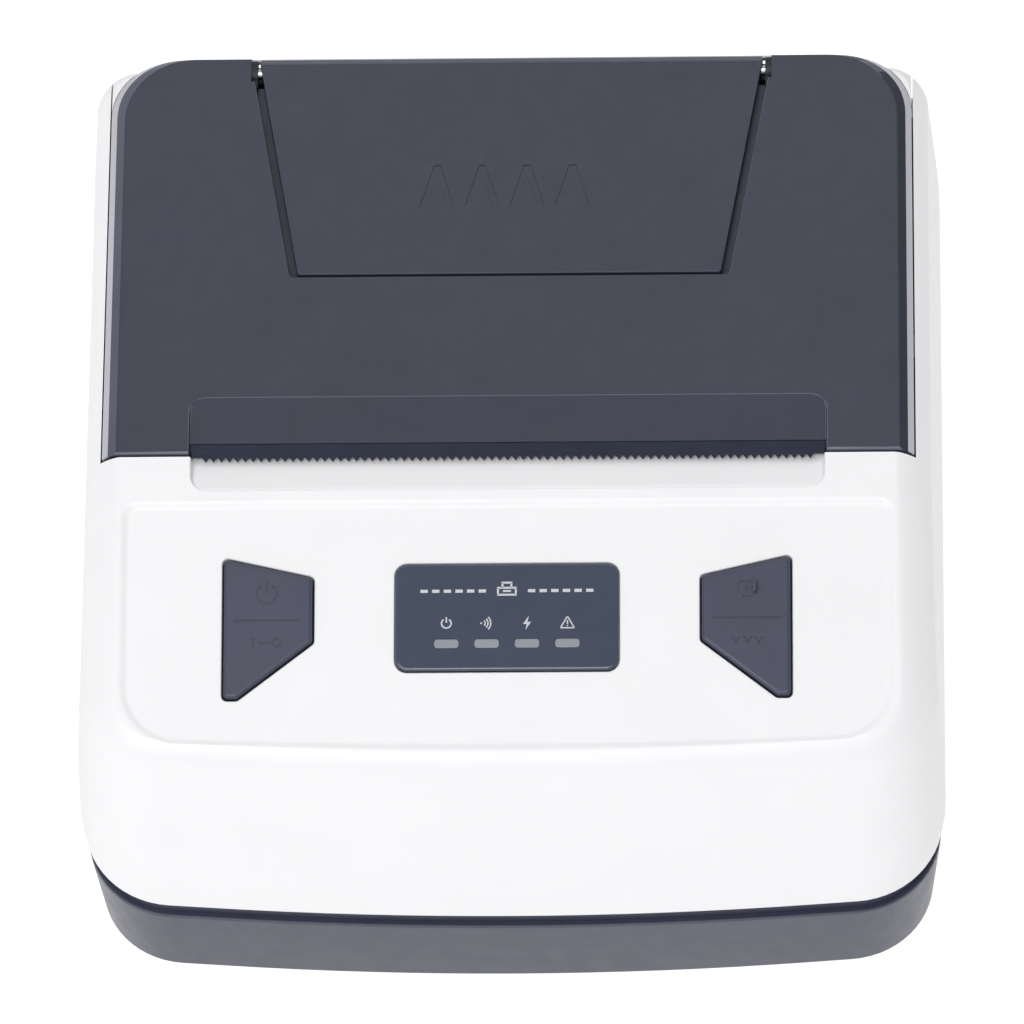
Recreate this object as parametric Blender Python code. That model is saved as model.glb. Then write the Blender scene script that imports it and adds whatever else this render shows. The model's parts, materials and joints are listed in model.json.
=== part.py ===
"""Portable thermal label printer: a white case with a dark rear-hinged cover, built as separate pieces.

Lengths below are in millimetres; every mesh is made in metres. +X right, the front faces -Y, +Z up.
The origin is the middle of the bounding box at floor level.
"""
import math

import bmesh
import bpy
from mathutils import Matrix, Vector

MM = 0.001

# ---- outer form: (z, half width, front y at the corners, rear y, front corner r, rear corner r, bow)
CASE_LEVELS = [
    (20.3, 56.0, -52.6, 54.2, 12.0, 9.0, 1.8),
    (24.0, 56.4, -51.9, 54.4, 12.0, 9.0, 1.8),
    (32.0, 56.3, -49.6, 54.4, 12.0, 8.4, 1.8),
    (42.0, 55.6, -46.4, 54.4, 11.0, 7.0, 1.8),
    (50.5, 54.85, -43.6, 54.4, 9.0, 5.6, 1.8),
    (57.5, 54.4, -41.4, 54.4, 8.0, 5.2, 1.8),
]
BASE_LEVELS = [
    (0.8, 54.2, -51.4, 52.6, 11.0, 8.5, 1.8),
    (2.0, 54.7, -51.9, 53.1, 11.5, 8.7, 1.8),
    (17.1, 55.8, -52.5, 54.0, 11.9, 8.9, 1.8),
]
# the cover is narrower than the case: straight sides, then a shallow chamfer up to the flat top
COVER_LEVELS = [
    (45.0, 52.6, -45.0, 54.3, 8.0, 8.4, 1.8),
    (55.2, 52.6, -45.0, 54.3, 8.0, 8.4, 1.8),
    (57.8, 48.8, -45.0, 53.3, 8.0, 7.4, 1.8),
]
TOP_Z = 56.5
TEAR_Y = -5.2
PANEL_SLOPE = math.radians(12.0)
WALL = 2.0
GAP = 0.3

# ---- cover hinge, at the rear
HINGE_Y, HINGE_Z = 51.5, 50.3
LUG_R, TROUGH_R = 4.3, 4.65
EAR_X0, EAR_X1 = 44.5, 47.1

# ---- release flap in the cover
FLAP_PIN_Y, FLAP_PIN_Z = 52.6, 54.7
FLAP_FRONT_Y, FLAP_REAR_Y = 21.3, 54.4
FLAP_FRONT_X, FLAP_REAR_X = 27.6, 33.3
FLAP_SIDE_GAP, FLAP_FRONT_GAP = 1.1, 0.35

# ---- platen and gears: module 0.4 teeth
MODULE = 0.4
PLATEN_Y, PLATEN_Z, PLATEN_R = 0.4, 46.5, 4.2
PLATEN_TEETH, IDLER_TEETH, MOTOR_TEETH = 22, 30, 14
MESH_CLEARANCE = 0.1
GEAR_X0, GEAR_X1 = 43.6, 46.6
IDLER_Y, MOTOR_Y = -4.6, -6.7

# ---- tear bar
TEETH_COUNT, TOOTH_PITCH, TOOTH_DEPTH = 77, 1.03, 0.65

# ---- control panel, in a frame that lies on the sloping top (v to the rear, w along its normal)
PANEL_RECESS = 0.4
BUTTON = [(36.5, -14.1), (25.1, -16.7), (25.1, -25.2), (34.8, -32.7), (36.5, -32.7)]
BUTTON_TRAVEL = 0.6
WINDOW_X, WINDOW_V0, WINDOW_V1, WINDOW_R = 14.4, -29.2, -14.9, 1.6

# ---- roll bay
BAY_X, BAY_Y, BAY_Z, BAY_R, BAY_WALL = 41.5, 26.25, 27.5, 21.75, 1.5

for old in list(bpy.data.objects):
    bpy.data.objects.remove(old)

printer = bpy.data.collections.new("label_printer")
tools = bpy.data.collections.new("cutters")
bpy.context.scene.collection.children.link(printer)
bpy.context.scene.collection.children.link(tools)


def material(name, colour, roughness, metallic=0.0):
    made = bpy.data.materials.new(name)
    made.use_nodes = True
    shader = made.node_tree.nodes["Principled BSDF"]
    shader.inputs["Base Color"].default_value = (*colour, 1.0)
    shader.inputs["Roughness"].default_value = roughness
    shader.inputs["Metallic"].default_value = metallic
    made.diffuse_color = (*colour, 1.0)
    return made


LOOKS = {
    "white": ((0.86, 0.86, 0.87), 0.42, 0.0),
    "dark": ((0.06, 0.062, 0.085), 0.45, 0.0),
    "grey": ((0.13, 0.135, 0.16), 0.5, 0.0),
    "black": ((0.02, 0.02, 0.022), 0.5, 0.0),
    "gloss": ((0.05, 0.06, 0.09), 0.15, 0.0),
    "rubber": ((0.03, 0.03, 0.03), 0.8, 0.0),
    "steel": ((0.6, 0.6, 0.62), 0.3, 1.0),
    "aluminium": ((0.75, 0.75, 0.76), 0.4, 1.0),
    "board": ((0.02, 0.16, 0.08), 0.5, 0.0),
    "ceramic": ((0.75, 0.72, 0.66), 0.3, 0.0),
    "gear": ((0.82, 0.8, 0.74), 0.5, 0.0),
    "lens": ((0.7, 0.75, 0.8), 0.2, 0.0),
    "label": ((0.1, 0.12, 0.3), 0.5, 0.0),
}


def piece(name, mesh_or_bm, look, smooth=False, origin=None):
    """Make a named piece from a bmesh; origin moves the object's origin to that point (mm)."""
    mesh = bpy.data.meshes.new(name)
    mesh_or_bm.normal_update()
    mesh_or_bm.to_mesh(mesh)
    mesh_or_bm.free()
    obj = bpy.data.objects.new(name, mesh)
    printer.objects.link(obj)
    mesh.materials.append(material(name, *LOOKS[look]))
    for face in mesh.polygons:
        face.use_smooth = smooth
    if origin is not None:
        place = Vector(origin) * MM
        mesh.transform(Matrix.Translation(-place))
        obj.location = place
    return obj


def cutter(name, bm):
    mesh = bpy.data.meshes.new(name)
    bm.normal_update()
    bm.to_mesh(mesh)
    bm.free()
    obj = bpy.data.objects.new(name, mesh)
    tools.objects.link(obj)
    obj.hide_render = True
    obj.display_type = "WIRE"
    return obj


def boolean(target, tool, operation="DIFFERENCE"):
    step = target.modifiers.new(tool.name, "BOOLEAN")
    step.operation = operation
    step.solver = "EXACT"
    step.object = tool
    return step


def cut(target, name, bm):
    return boolean(target, cutter(target.name + "_" + name, bm))


def keep(target, name, bm):
    return boolean(target, cutter(target.name + "_" + name, bm), "INTERSECT")


def join(target, name, bm):
    return boolean(target, cutter(target.name + "_" + name, bm), "UNION")


def box(low, high):
    bm = bmesh.new()
    bmesh.ops.create_cube(bm, size=1.0)
    size = Vector(high) - Vector(low)
    middle = (Vector(high) + Vector(low)) / 2
    bmesh.ops.scale(bm, vec=size * MM, verts=bm.verts)
    bmesh.ops.translate(bm, vec=middle * MM, verts=bm.verts)
    return bm


def rod(radius, start, end, axis="X", at=(0.0, 0.0), sides=32):
    """A cylinder along an axis, from start to end; at gives the other two coordinates."""
    bm = bmesh.new()
    bmesh.ops.create_cone(bm, cap_ends=True, segments=sides, radius1=radius * MM, radius2=radius * MM,
                          depth=(end - start) * MM)
    middle = (start + end) / 2
    if axis == "X":
        turn = Matrix.Rotation(math.pi / 2, 4, "Y")
        place = Vector((middle, at[0], at[1]))
    elif axis == "Y":
        turn = Matrix.Rotation(math.pi / 2, 4, "X")
        place = Vector((at[0], middle, at[1]))
    else:
        turn = Matrix.Identity(4)
        place = Vector((at[0], at[1], middle))
    bmesh.ops.transform(bm, matrix=Matrix.Translation(place * MM) @ turn, verts=bm.verts)
    return bm


def merged(*parts):
    """Several separate solids in one bmesh, for use as a cutter."""
    whole = bmesh.new()
    for part in parts:
        mesh = bpy.data.meshes.new("part")
        part.to_mesh(mesh)
        part.free()
        whole.from_mesh(mesh)
        bpy.data.meshes.remove(mesh)
    return whole


def prism(points, start, end, plane="YZ"):
    """Extrude a closed outline. plane YZ runs along X, plane XY runs along Z, plane XZ along Y."""
    bm = bmesh.new()
    ring = []
    for first, second in points:
        if plane == "YZ":
            spot = (start, first, second)
        elif plane == "XY":
            spot = (first, second, start)
        else:
            spot = (first, start, second)
        ring.append(bm.verts.new(Vector(spot) * MM))
    face = bm.faces.new(ring)
    push = {"YZ": (end - start, 0, 0), "XY": (0, 0, end - start), "XZ": (0, end - start, 0)}[plane]
    grown = bmesh.ops.extrude_face_region(bm, geom=[face])
    moved = [item for item in grown["geom"] if isinstance(item, bmesh.types.BMVert)]
    bmesh.ops.translate(bm, vec=Vector(push) * MM, verts=moved)
    bmesh.ops.recalc_face_normals(bm, faces=bm.faces)
    return bm


def arc(centre, radius, start, end, steps):
    points = []
    for index in range(steps + 1):
        angle = math.radians(start + (end - start) * index / steps)
        points.append((centre[0] + radius * math.cos(angle), centre[1] + radius * math.sin(angle)))
    return points


def rounded(half_x, low, high, radius, steps=5):
    """Outline of a rounded rectangle centred on x = 0."""
    points = []
    points += arc((half_x - radius, high - radius), radius, 0, 90, steps)
    points += arc((-half_x + radius, high - radius), radius, 90, 180, steps)
    points += arc((-half_x + radius, low + radius), radius, 180, 270, steps)
    points += arc((half_x - radius, low + radius), radius, 270, 360, steps)
    return points


def case_outline(level, inset, steps=7):
    """Plan outline of the case at one level: rounded corners and a front that bows outwards."""
    half, front, rear, front_r, rear_r, bow = level[1:]
    half -= inset
    front += inset
    rear -= inset
    front_r = max(front_r - inset, 2.0)
    rear_r = max(rear_r - inset, 2.0)
    points = []
    points += arc((half - rear_r, rear - rear_r), rear_r, 0, 90, steps)
    points += arc((-half + rear_r, rear - rear_r), rear_r, 90, 180, steps)
    points += arc((-half + front_r, front + front_r), front_r, 180, 265, steps)
    flat = half - front_r
    for index in range(1, 8):
        across = -1.0 + index / 4.0
        points.append((across * flat, front - bow * (1.0 - across * across)))
    points += arc((half - front_r, front + front_r), front_r, 275, 360, steps)
    return points


def loft(levels, inset=0.0, low=None, high=None):
    """Skin the plan outlines of the levels into one closed solid."""
    rows = [list(level) for level in levels]
    if low is not None:
        rows[0][0] = low
    if high is not None:
        rows[-1][0] = high
    bm = bmesh.new()
    rings = []
    for row in rows:
        ring = [bm.verts.new(Vector((x, y, row[0])) * MM) for x, y in case_outline(row, inset)]
        rings.append(ring)
    count = len(rings[0])
    for lower, upper in zip(rings, rings[1:]):
        for index in range(count):
            after = (index + 1) % count
            bm.faces.new((lower[index], lower[after], upper[after], upper[index]))
    bm.faces.new(list(reversed(rings[0])))
    bm.faces.new(rings[-1])
    bmesh.ops.recalc_face_normals(bm, faces=bm.faces)
    return bm


def slope_z(y, drop=0.0):
    """Height of the sloping panel plane at y, lowered by drop along its normal."""
    return TOP_Z - (TEAR_Y - y) * math.tan(PANEL_SLOPE) - drop / math.cos(PANEL_SLOPE)


PANEL = Matrix.Translation(Vector((0, TEAR_Y, TOP_Z)) * MM) @ Matrix.Rotation(PANEL_SLOPE, 4, "X")


def on_panel(bm):
    """Move a solid drawn flat (x, v, w) onto the sloping panel."""
    bmesh.ops.transform(bm, matrix=PANEL, verts=bm.verts)
    return bm


def mirrored(points, side):
    return [(side * x, y) for x, y in points]


def grown(points, amount):
    """Offset a convex outline outwards by amount."""
    count = len(points)
    area = sum(points[i][0] * points[(i + 1) % count][1] - points[(i + 1) % count][0] * points[i][1]
               for i in range(count))
    turn = 1.0 if area > 0 else -1.0
    lines = []
    for i in range(count):
        a = Vector(points[i])
        b = Vector(points[(i + 1) % count])
        along = (b - a).normalized()
        out = Vector((along.y, -along.x)) * turn
        lines.append((a + out * amount, along))
    moved = []
    for i in range(count):
        p, d = lines[i - 1]
        q, e = lines[i]
        cross = d.x * e.y - d.y * e.x
        step = ((q.x - p.x) * e.y - (q.y - p.y) * e.x) / cross
        moved.append((p.x + d.x * step, p.y + d.y * step))
    return moved


# ------------------------------------------------------------------ base
base = piece("base_shell", loft(BASE_LEVELS), "dark")
cut(base, "hollow", loft(BASE_LEVELS, inset=2.2, low=2.8, high=30.0))
# a recessed step shows as a dark band under the case, and a tongue above it locates the case
for rim_name, rim_inset, rim_top in (("step", 0.95, 19.95), ("tongue", 2.3, 22.0)):
    rim = cutter("base_shell_" + rim_name, loft(CASE_LEVELS[:2], inset=rim_inset, low=14.5, high=rim_top))
    cut(rim, "inside", loft(CASE_LEVELS[:2], inset=3.5, low=10.0, high=30.0))
    boolean(base, rim, "UNION")

BATTERY_X, BATTERY_Y0, BATTERY_Y1 = 32.0, -47.5, -17.5
cut(base, "battery_opening", box((-BATTERY_X - 1, BATTERY_Y0 - 1, -2), (BATTERY_X + 1, BATTERY_Y1 + 1, 6)))
door = piece("battery_door", box((-BATTERY_X - 0.7, BATTERY_Y0 - 0.7, 0.9), (BATTERY_X + 0.7, BATTERY_Y1 + 0.7, 2.7)),
             "dark")
cut(door, "grip", merged(*[box((-12, -44.0 + 2.4 * i, 0), (12, -42.8 + 2.4 * i, 1.5)) for i in range(3)]))
cut(door, "screw_hole", rod(1.3, -1, 4, "Z", (0.0, -21.0), 20))
piece("battery_pack", box((-BATTERY_X, BATTERY_Y0 + 0.5, 3.1), (BATTERY_X, BATTERY_Y1 - 0.5, 18.2)), "label")

FEET = [(-42.0, -38.0), (42.0, -38.0), (-42.0, 38.0), (42.0, 38.0)]
FOOT_R = 4.0
SCREWS = [(-49.3, -33.0), (49.3, -33.0), (-49.3, 33.0), (49.3, 33.0)]
cut(base, "foot_pockets", merged(*[rod(FOOT_R + 0.15, -1, 1.4, "Z", spot, 24) for spot in FEET]))
cut(base, "screw_heads", merged(*[rod(2.6, -1, 2.0, "Z", spot, 20) for spot in SCREWS]))
cut(base, "screw_holes", merged(*[rod(1.4, 1, 4, "Z", spot, 20) for spot in SCREWS]))


def screw(name, spot, head_z, head_r, length):
    """A pan head screw with a cross recess; the head is at head_z and the shank points up."""
    shank = rod(head_r * 0.5, head_z, head_z + length, "Z", spot, 12)
    made = piece(name, rod(head_r, head_z, head_z + 0.9, "Z", spot, 20), "steel")
    join(made, "shank", shank)
    slot_low = head_z - 0.5
    slot_high = head_z + 0.35
    cut(made, "slot_a", box((spot[0] - 1.1, spot[1] - 0.25, slot_low), (spot[0] + 1.1, spot[1] + 0.25, slot_high)))
    cut(made, "slot_b", box((spot[0] - 0.25, spot[1] - 1.1, slot_low), (spot[0] + 0.25, spot[1] + 1.1, slot_high)))
    return made


for number, spot in enumerate(FEET, 1):
    piece("rubber_foot_%d" % number, rod(FOOT_R, 0.0, 1.3, "Z", spot, 24), "rubber")
for number, spot in enumerate(SCREWS, 1):
    screw("base_screw_%d" % number, spot, 0.95, 2.2, 9.0)
screw("door_screw", (0.0, -21.0), 0.95, 2.0, 2.0)
cut(door, "screw_head", rod(2.3, -1, 1.95, "Z", (0.0, -21.0), 20))

# ------------------------------------------------------------------ upper shell
SIDE_TOP_Z = HINGE_Z - GAP
RIM_X, RIM_Z = 52.8, 55.1
# the rounded side shoulder: (x, drop below the plane of the top)
SHOULDER = [(50.5, 0.0), (RIM_X, 1.3), (54.4, 3.6), (55.1, 5.2)]
LIP_X, LIP_Y = 40.88, -4.5
shell = piece("upper_shell", loft(CASE_LEVELS), "white")
keep(shell, "top", prism([(-80, 0), (-80, slope_z(-80)), (TEAR_Y - GAP, slope_z(TEAR_Y - GAP)),
                          (TEAR_Y - GAP, RIM_Z), (80, RIM_Z), (80, 0)], -80, 80))
hollow = cutter("upper_shell_hollow", loft(CASE_LEVELS, inset=WALL, low=10.0, high=70.0))
keep(hollow, "inside", prism([(-80, -5), (-80, slope_z(-80, WALL)), (-13.0, slope_z(-13.0, WALL)), (-10.0, 52.2),
                              (LIP_Y - 0.1, 52.2), (LIP_Y - 0.1, 50.8), (80, 50.8), (80, -5)], -80, 80))
boolean(shell, hollow)
# the side walls rise as rims outside the cover; the cover's own space is open down to the seam
cut(shell, "cover_space", box((-RIM_X, LIP_Y, SIDE_TOP_Z), (RIM_X, 80, 80)))
for side in (-1, 1):
    label = "left" if side < 0 else "right"
    low, high = sorted((side * LIP_X, side * RIM_X))
    cut(shell, "seam_" + label, box((low, TEAR_Y - GAP, SIDE_TOP_Z), (high, 0, 80)))
    front_edge = [(x, -drop) for x, drop in SHOULDER] + [(60, -SHOULDER[-1][1]), (60, 3), (SHOULDER[0][0], 3)]
    cut(shell, "front_shoulder_" + label, on_panel(prism(mirrored(front_edge, side), -60, 0.4, "XZ")))
    rim_edge = [(x, RIM_Z + SHOULDER[1][1] - drop) for x, drop in SHOULDER[1:]]
    rim_edge += [(60, rim_edge[-1][1]), (60, 62), (RIM_X, 62)]
    cut(shell, "rim_shoulder_" + label, prism(mirrored(rim_edge, side), TEAR_Y, 80, "XZ"))
cut(shell, "hinge_trough", rod(TROUGH_R, -RIM_X, RIM_X, "X", (HINGE_Y, HINGE_Z), 48))
ear_outline = arc((HINGE_Y, HINGE_Z), 2.2, 0, 180, 10) + [(HINGE_Y - 2.2, 40.0), (HINGE_Y + 1.6, 40.0),
                                                          (HINGE_Y + 2.2, 43.0)]
for side in (-1, 1):
    low, high = sorted((side * EAR_X0, side * EAR_X1))
    join(shell, "ear_%s" % ("left" if side < 0 else "right"), prism(ear_outline, low, high))
for number, (x, y) in enumerate(SCREWS):
    side = 1 if x > 0 else -1
    join(shell, "boss_%d" % number, rod(2.9, 3.1, 30.0, "Z", (x, y), 20))
    low, high = sorted((x, side * 55.5))
    join(shell, "rib_%d" % number, box((low, y - 1.0, 22.5), (high, y + 1.0, 29.0)))
cut(shell, "boss_holes", merged(*[rod(1.2, 2, 14, "Z", spot, 16) for spot in SCREWS]))
cut(shell, "ear_holes", merged(rod(1.25, 43, 49, "X", (HINGE_Y, HINGE_Z), 20),
                               rod(1.25, -49, -43, "X", (HINGE_Y, HINGE_Z), 20)))

# paper exit: the roof ramps down and ends in a lip under the tear bar
RAMP_X, RAMP_FRONT_Y = 40.9, -9.8
ramp = [(RAMP_FRONT_Y, slope_z(RAMP_FRONT_Y) - 0.15), (LIP_Y, 54.2), (LIP_Y + 3, 53.6), (LIP_Y + 3, 62),
        (RAMP_FRONT_Y, 62)]
cut(shell, "ramp", prism(ramp, -RAMP_X, RAMP_X))

# control panel: a shallow recess with large front corners, button holes and the status window seat
panel_area = (arc((47.9, -8.4), 1.6, 0, 90, 4) + arc((-47.9, -8.4), 1.6, 90, 180, 4)
              + arc((-42.0, -31.0), 7.5, 180, 260, 6) + [(-20, -38.9), (0, -39.3), (20, -38.9)]
              + arc((42.0, -31.0), 7.5, 280, 360, 6))
cut(shell, "panel_recess", on_panel(prism(panel_area, -PANEL_RECESS, 5, "XY")))
window_seat = rounded(WINDOW_X + 0.1, WINDOW_V0 - 0.1, WINDOW_V1 + 0.1, WINDOW_R)
cut(shell, "window_seat", on_panel(prism(window_seat, -1.35, 5, "XY")))
LED_X = [-7.8, -2.6, 2.6, 7.8]
LED_V = -25.6
cut(shell, "light_slots", on_panel(merged(*[box((x - 1.9, LED_V - 0.9, -6), (x + 1.9, LED_V + 0.9, 2))
                                            for x in LED_X])))
for side in (-1, 1):
    name = "button_hole_left" if side < 0 else "button_hole_right"
    cut(shell, name, on_panel(prism(mirrored(grown(BUTTON, 0.25), side), -8, 5, "XY")))

# ------------------------------------------------------------------ status panel, buttons and their board
window = piece("status_window", on_panel(prism(rounded(WINDOW_X, WINDOW_V0, WINDOW_V1, WINDOW_R), -1.3, 0.0, "XY")),
               "gloss")
guide = piece("light_guide", on_panel(box((-10.5, LED_V - 2.0, -4.0), (10.5, LED_V + 2.0, -2.2))), "lens")
join(guide, "posts", on_panel(merged(*[box((x - 1.7, LED_V - 0.7, -3.0), (x + 1.7, LED_V + 0.7, -1.45))
                                       for x in LED_X])))
for number, x in enumerate(LED_X, 1):
    piece("status_led_%d" % number, on_panel(box((x - 0.8, LED_V - 0.6, -6.9), (x + 0.8, LED_V + 0.6, -6.1))), "lens")
BOARD_TOP = -7.1
piece("control_board", on_panel(box((-40, -35.0, BOARD_TOP - 1.2), (40, -10.5, BOARD_TOP))), "board")
for side, name in ((-1, "power_button"), (1, "feed_button")):
    outline = mirrored(BUTTON, side)
    cap = piece(name, on_panel(prism(outline, -2.5, 0.15, "XY")), "dark")
    join(cap, "flange", on_panel(prism(mirrored(grown(BUTTON, 0.9), side), -3.4, -2.4, "XY")))
    centre = (side * 30.7, -22.5)
    join(cap, "stem", on_panel(rod(1.6, -4.8, -3.0, "Z", centre, 16)))
    switch = piece("tact_switch_left" if side < 0 else "tact_switch_right",
                   on_panel(box((centre[0] - 3, centre[1] - 3, BOARD_TOP + 0.1), (centre[0] + 3, centre[1] + 3, -6.0))),
                   "black")
    join(switch, "plunger", on_panel(rod(1.3, -6.5, -5.5, "Z", centre, 16)))

# ------------------------------------------------------------------ inner parts held by the case
main_board = piece("main_board", box((-44, -48.4, 21.0), (44, -17, 22.5)), "board")
piece("radio_module", box((12, -46, 22.6), (28, -32, 25.0)), "aluminium")
PORT_Y, PORT_Z = -18.0, 13.0
cut(base, "port_hole", merged(box((-60, PORT_Y - 4.7, PORT_Z - 1.8), (-50, PORT_Y + 4.7, PORT_Z + 1.8))))
port = piece("charging_port", box((-55.0, PORT_Y - 4.5, PORT_Z - 1.6), (-47.5, PORT_Y + 4.5, PORT_Z + 1.6)), "steel")
cut(port, "mouth", box((-60.0, PORT_Y - 4.1, PORT_Z - 1.25), (-49.0, PORT_Y + 4.1, PORT_Z + 1.25)))
join(port, "tab", box((-54.5, PORT_Y - 3.2, PORT_Z - 0.35), (-48.0, PORT_Y + 3.2, PORT_Z + 0.35)))

# roll bay: a bucket with a round floor, open at the top
def bay_profile(radius, top, front_top, low_y, high_y):
    points = [(high_y, top), (low_y, front_top)]
    points += arc((BAY_Y, BAY_Z), radius, 180, 360, 18)
    return points


outer_r = BAY_R + BAY_WALL
bay = piece("roll_bay", prism(bay_profile(outer_r, 45.0, 40.0, BAY_Y - outer_r, BAY_Y + outer_r),
                              -BAY_X - BAY_WALL, BAY_X + BAY_WALL), "grey")
cut(bay, "hollow", prism(bay_profile(BAY_R, 60.0, 60.0, BAY_Y - BAY_R, BAY_Y + BAY_R), -BAY_X, BAY_X))
cut(bay, "front_dip", box((-60, BAY_Y - outer_r - 2, 40.0), (60, BAY_Y - 12, 60.0)))

# print head in front of the platen
head = piece("print_head", box((-41, -5.3, 39.0), (41, -4.25, 48.6)), "ceramic")
sink = piece("heat_sink", box((-40, -7.4, 37.5), (40, -5.4, 48.0)), "aluminium")
cut(sink, "grooves", merged(*[box((-38 + 9.6 * i, -8.0, 39.0), (-31 + 9.6 * i, -6.6, 46.5)) for i in range(8)]))
FRAME_X0, FRAME_X1 = 47.3, 48.6
frame = piece("head_frame", box((-FRAME_X1, -12.2, 43.4), (FRAME_X1, -11.0, 49.0)), "steel")
for side in (-1, 1):
    low, high = sorted((side * FRAME_X0, side * FRAME_X1))
    join(frame, "cheek_%s" % ("left" if side < 0 else "right"), box((low, -12.0, 32.0), (high, 4.2, 48.2)))
slot_cut = [(PLATEN_Y - 2.5, PLATEN_Z - 2.3), (PLATEN_Y + 2.5, PLATEN_Z - 2.3), (PLATEN_Y + 2.5, 60),
            (PLATEN_Y - 2.9, 60)]
cut(frame, "bush_slots", prism(slot_cut, -60, 60))
for side, name in ((-1, "head_spring_left"), (1, "head_spring_right")):
    spring = rod(1.7, -10.8, -7.6, "Y", (side * 24.0, 46.0), 20)
    made = piece(name, spring, "steel")
    cut(made, "bore", rod(1.1, -12, -6, "Y", (side * 24.0, 46.0), 16))
piece("paper_sensor", box((-5, 5.2, 40.3), (5, 11.0, 41.5)), "black")

# drive: motor, gear plate and two gears
PITCH_PI = (PLATEN_TEETH + IDLER_TEETH) * MODULE / 2 + MESH_CLEARANCE
PITCH_IM = (IDLER_TEETH + MOTOR_TEETH) * MODULE / 2 + MESH_CLEARANCE
IDLER_Z = PLATEN_Z - math.sqrt(PITCH_PI ** 2 - (PLATEN_Y - IDLER_Y) ** 2)
MOTOR_Z = IDLER_Z - math.sqrt(PITCH_IM ** 2 - (IDLER_Y - MOTOR_Y) ** 2)
motor = piece("stepper_motor", rod(7.9, 27.5, 41.0, "X", (MOTOR_Y, MOTOR_Z), 40), "steel", origin=None)
join(motor, "collar", rod(2.4, 40.5, 41.4, "X", (MOTOR_Y, MOTOR_Z), 24))
plate = piece("gear_plate", box((41.6, -15.5, 22.8), (42.8, 2.0, 43.0)), "steel")
cut(plate, "motor_hole", rod(1.8, 40, 44, "X", (MOTOR_Y, MOTOR_Z), 24))
join(plate, "idler_pin", rod(1.0, 42.0, 47.1, "X", (IDLER_Y, IDLER_Z), 20))


def gear_outline(teeth, centre, phase):
    """Straight-flanked teeth; phase is the angle in radians of the middle of one tooth."""
    pitch_r = teeth * MODULE / 2
    root_r = pitch_r - 1.2 * MODULE
    tip_r = pitch_r + 0.9 * MODULE
    step = 2 * math.pi / teeth
    points = []
    for index in range(teeth):
        middle = phase + index * step
        for offset, radius in ((-0.30, root_r), (-0.215, pitch_r), (-0.105, tip_r),
                               (0.105, tip_r), (0.215, pitch_r), (0.30, root_r)):
            angle = middle + offset * step
            points.append((centre[0] + radius * math.cos(angle), centre[1] + radius * math.sin(angle)))
    return points


to_idler = math.atan2(IDLER_Z - PLATEN_Z, IDLER_Y - PLATEN_Y)
to_motor = math.atan2(MOTOR_Z - IDLER_Z, MOTOR_Y - IDLER_Y)
platen_phase = to_idler + math.pi / PLATEN_TEETH
idler_phase = to_idler + math.pi
idler_step = 2 * math.pi / IDLER_TEETH
near = round((to_motor - idler_phase) / idler_step)
offset_idler = idler_phase + near * idler_step - to_motor
motor_phase = to_motor + math.pi - offset_idler * IDLER_TEETH / MOTOR_TEETH + math.pi / MOTOR_TEETH

idler = piece("idler_gear", prism(gear_outline(IDLER_TEETH, (IDLER_Y, IDLER_Z), idler_phase), GEAR_X0, GEAR_X1),
              "gear", origin=(0, IDLER_Y, IDLER_Z))
cut(idler, "bore", rod(1.06, 40, 50, "X", (IDLER_Y, IDLER_Z), 24))
pinion = piece("motor_pinion", prism(gear_outline(MOTOR_TEETH, (MOTOR_Y, MOTOR_Z), motor_phase), GEAR_X0, GEAR_X1),
               "gear", origin=(0, MOTOR_Y, MOTOR_Z))
join(pinion, "shaft", rod(1.2, 41.5, 47.0, "X", (MOTOR_Y, MOTOR_Z), 20))

# ------------------------------------------------------------------ hinge pins and latch catches
for side, name in ((-1, "hinge_pin_left"), (1, "hinge_pin_right")):
    low, high = sorted((side * 44.3, side * 49.0))
    piece(name, rod(1.2, low, high, "X", (HINGE_Y, HINGE_Z), 24), "steel")
for side, name in ((-1, "latch_catch_left"), (1, "latch_catch_right")):
    low, high = sorted((side * 47.6, side * 52.85))
    piece(name, box((low, 13.2, 46.1), (high, 16.5, 47.6)), "steel")

# ------------------------------------------------------------------ cover
cover = piece("cover_shell", loft(COVER_LEVELS), "dark", origin=(0, HINGE_Y, HINGE_Z))
lug = arc((HINGE_Y, HINGE_Z), LUG_R, 180, 360, 24)
cover_profile = [(TEAR_Y, HINGE_Z)] + lug + [(80, HINGE_Z), (80, TOP_Z), (TEAR_Y, TOP_Z)]
keep(cover, "profile", prism(cover_profile, -80, 80))
FRONT_WALL_Y = -2.9
room = cutter("cover_shell_room", loft(COVER_LEVELS, inset=WALL, low=10.0, high=70.0))
keep(room, "inside", prism([(FRONT_WALL_Y, 20), (FRONT_WALL_Y, 53.2), (4.6, 53.2), (5.6, TOP_Z - WALL),
                            (80, TOP_Z - WALL), (80, 20)], -80, 80))
boolean(cover, room)

# paper slot: its floor falls towards the tear bar, which stands out over the lip of the case
SLOT_X, SLOT_REAR_Y, BAR_REAR_Y = 41.2, 3.1, -3.2
FLOOR_FALL, BAR_TILT, BAR_THICK = 0.13, math.radians(8.5), 0.35


def slot_floor(y):
    return TOP_Z - 0.1 - (SLOT_REAR_Y - y) * FLOOR_FALL


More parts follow.
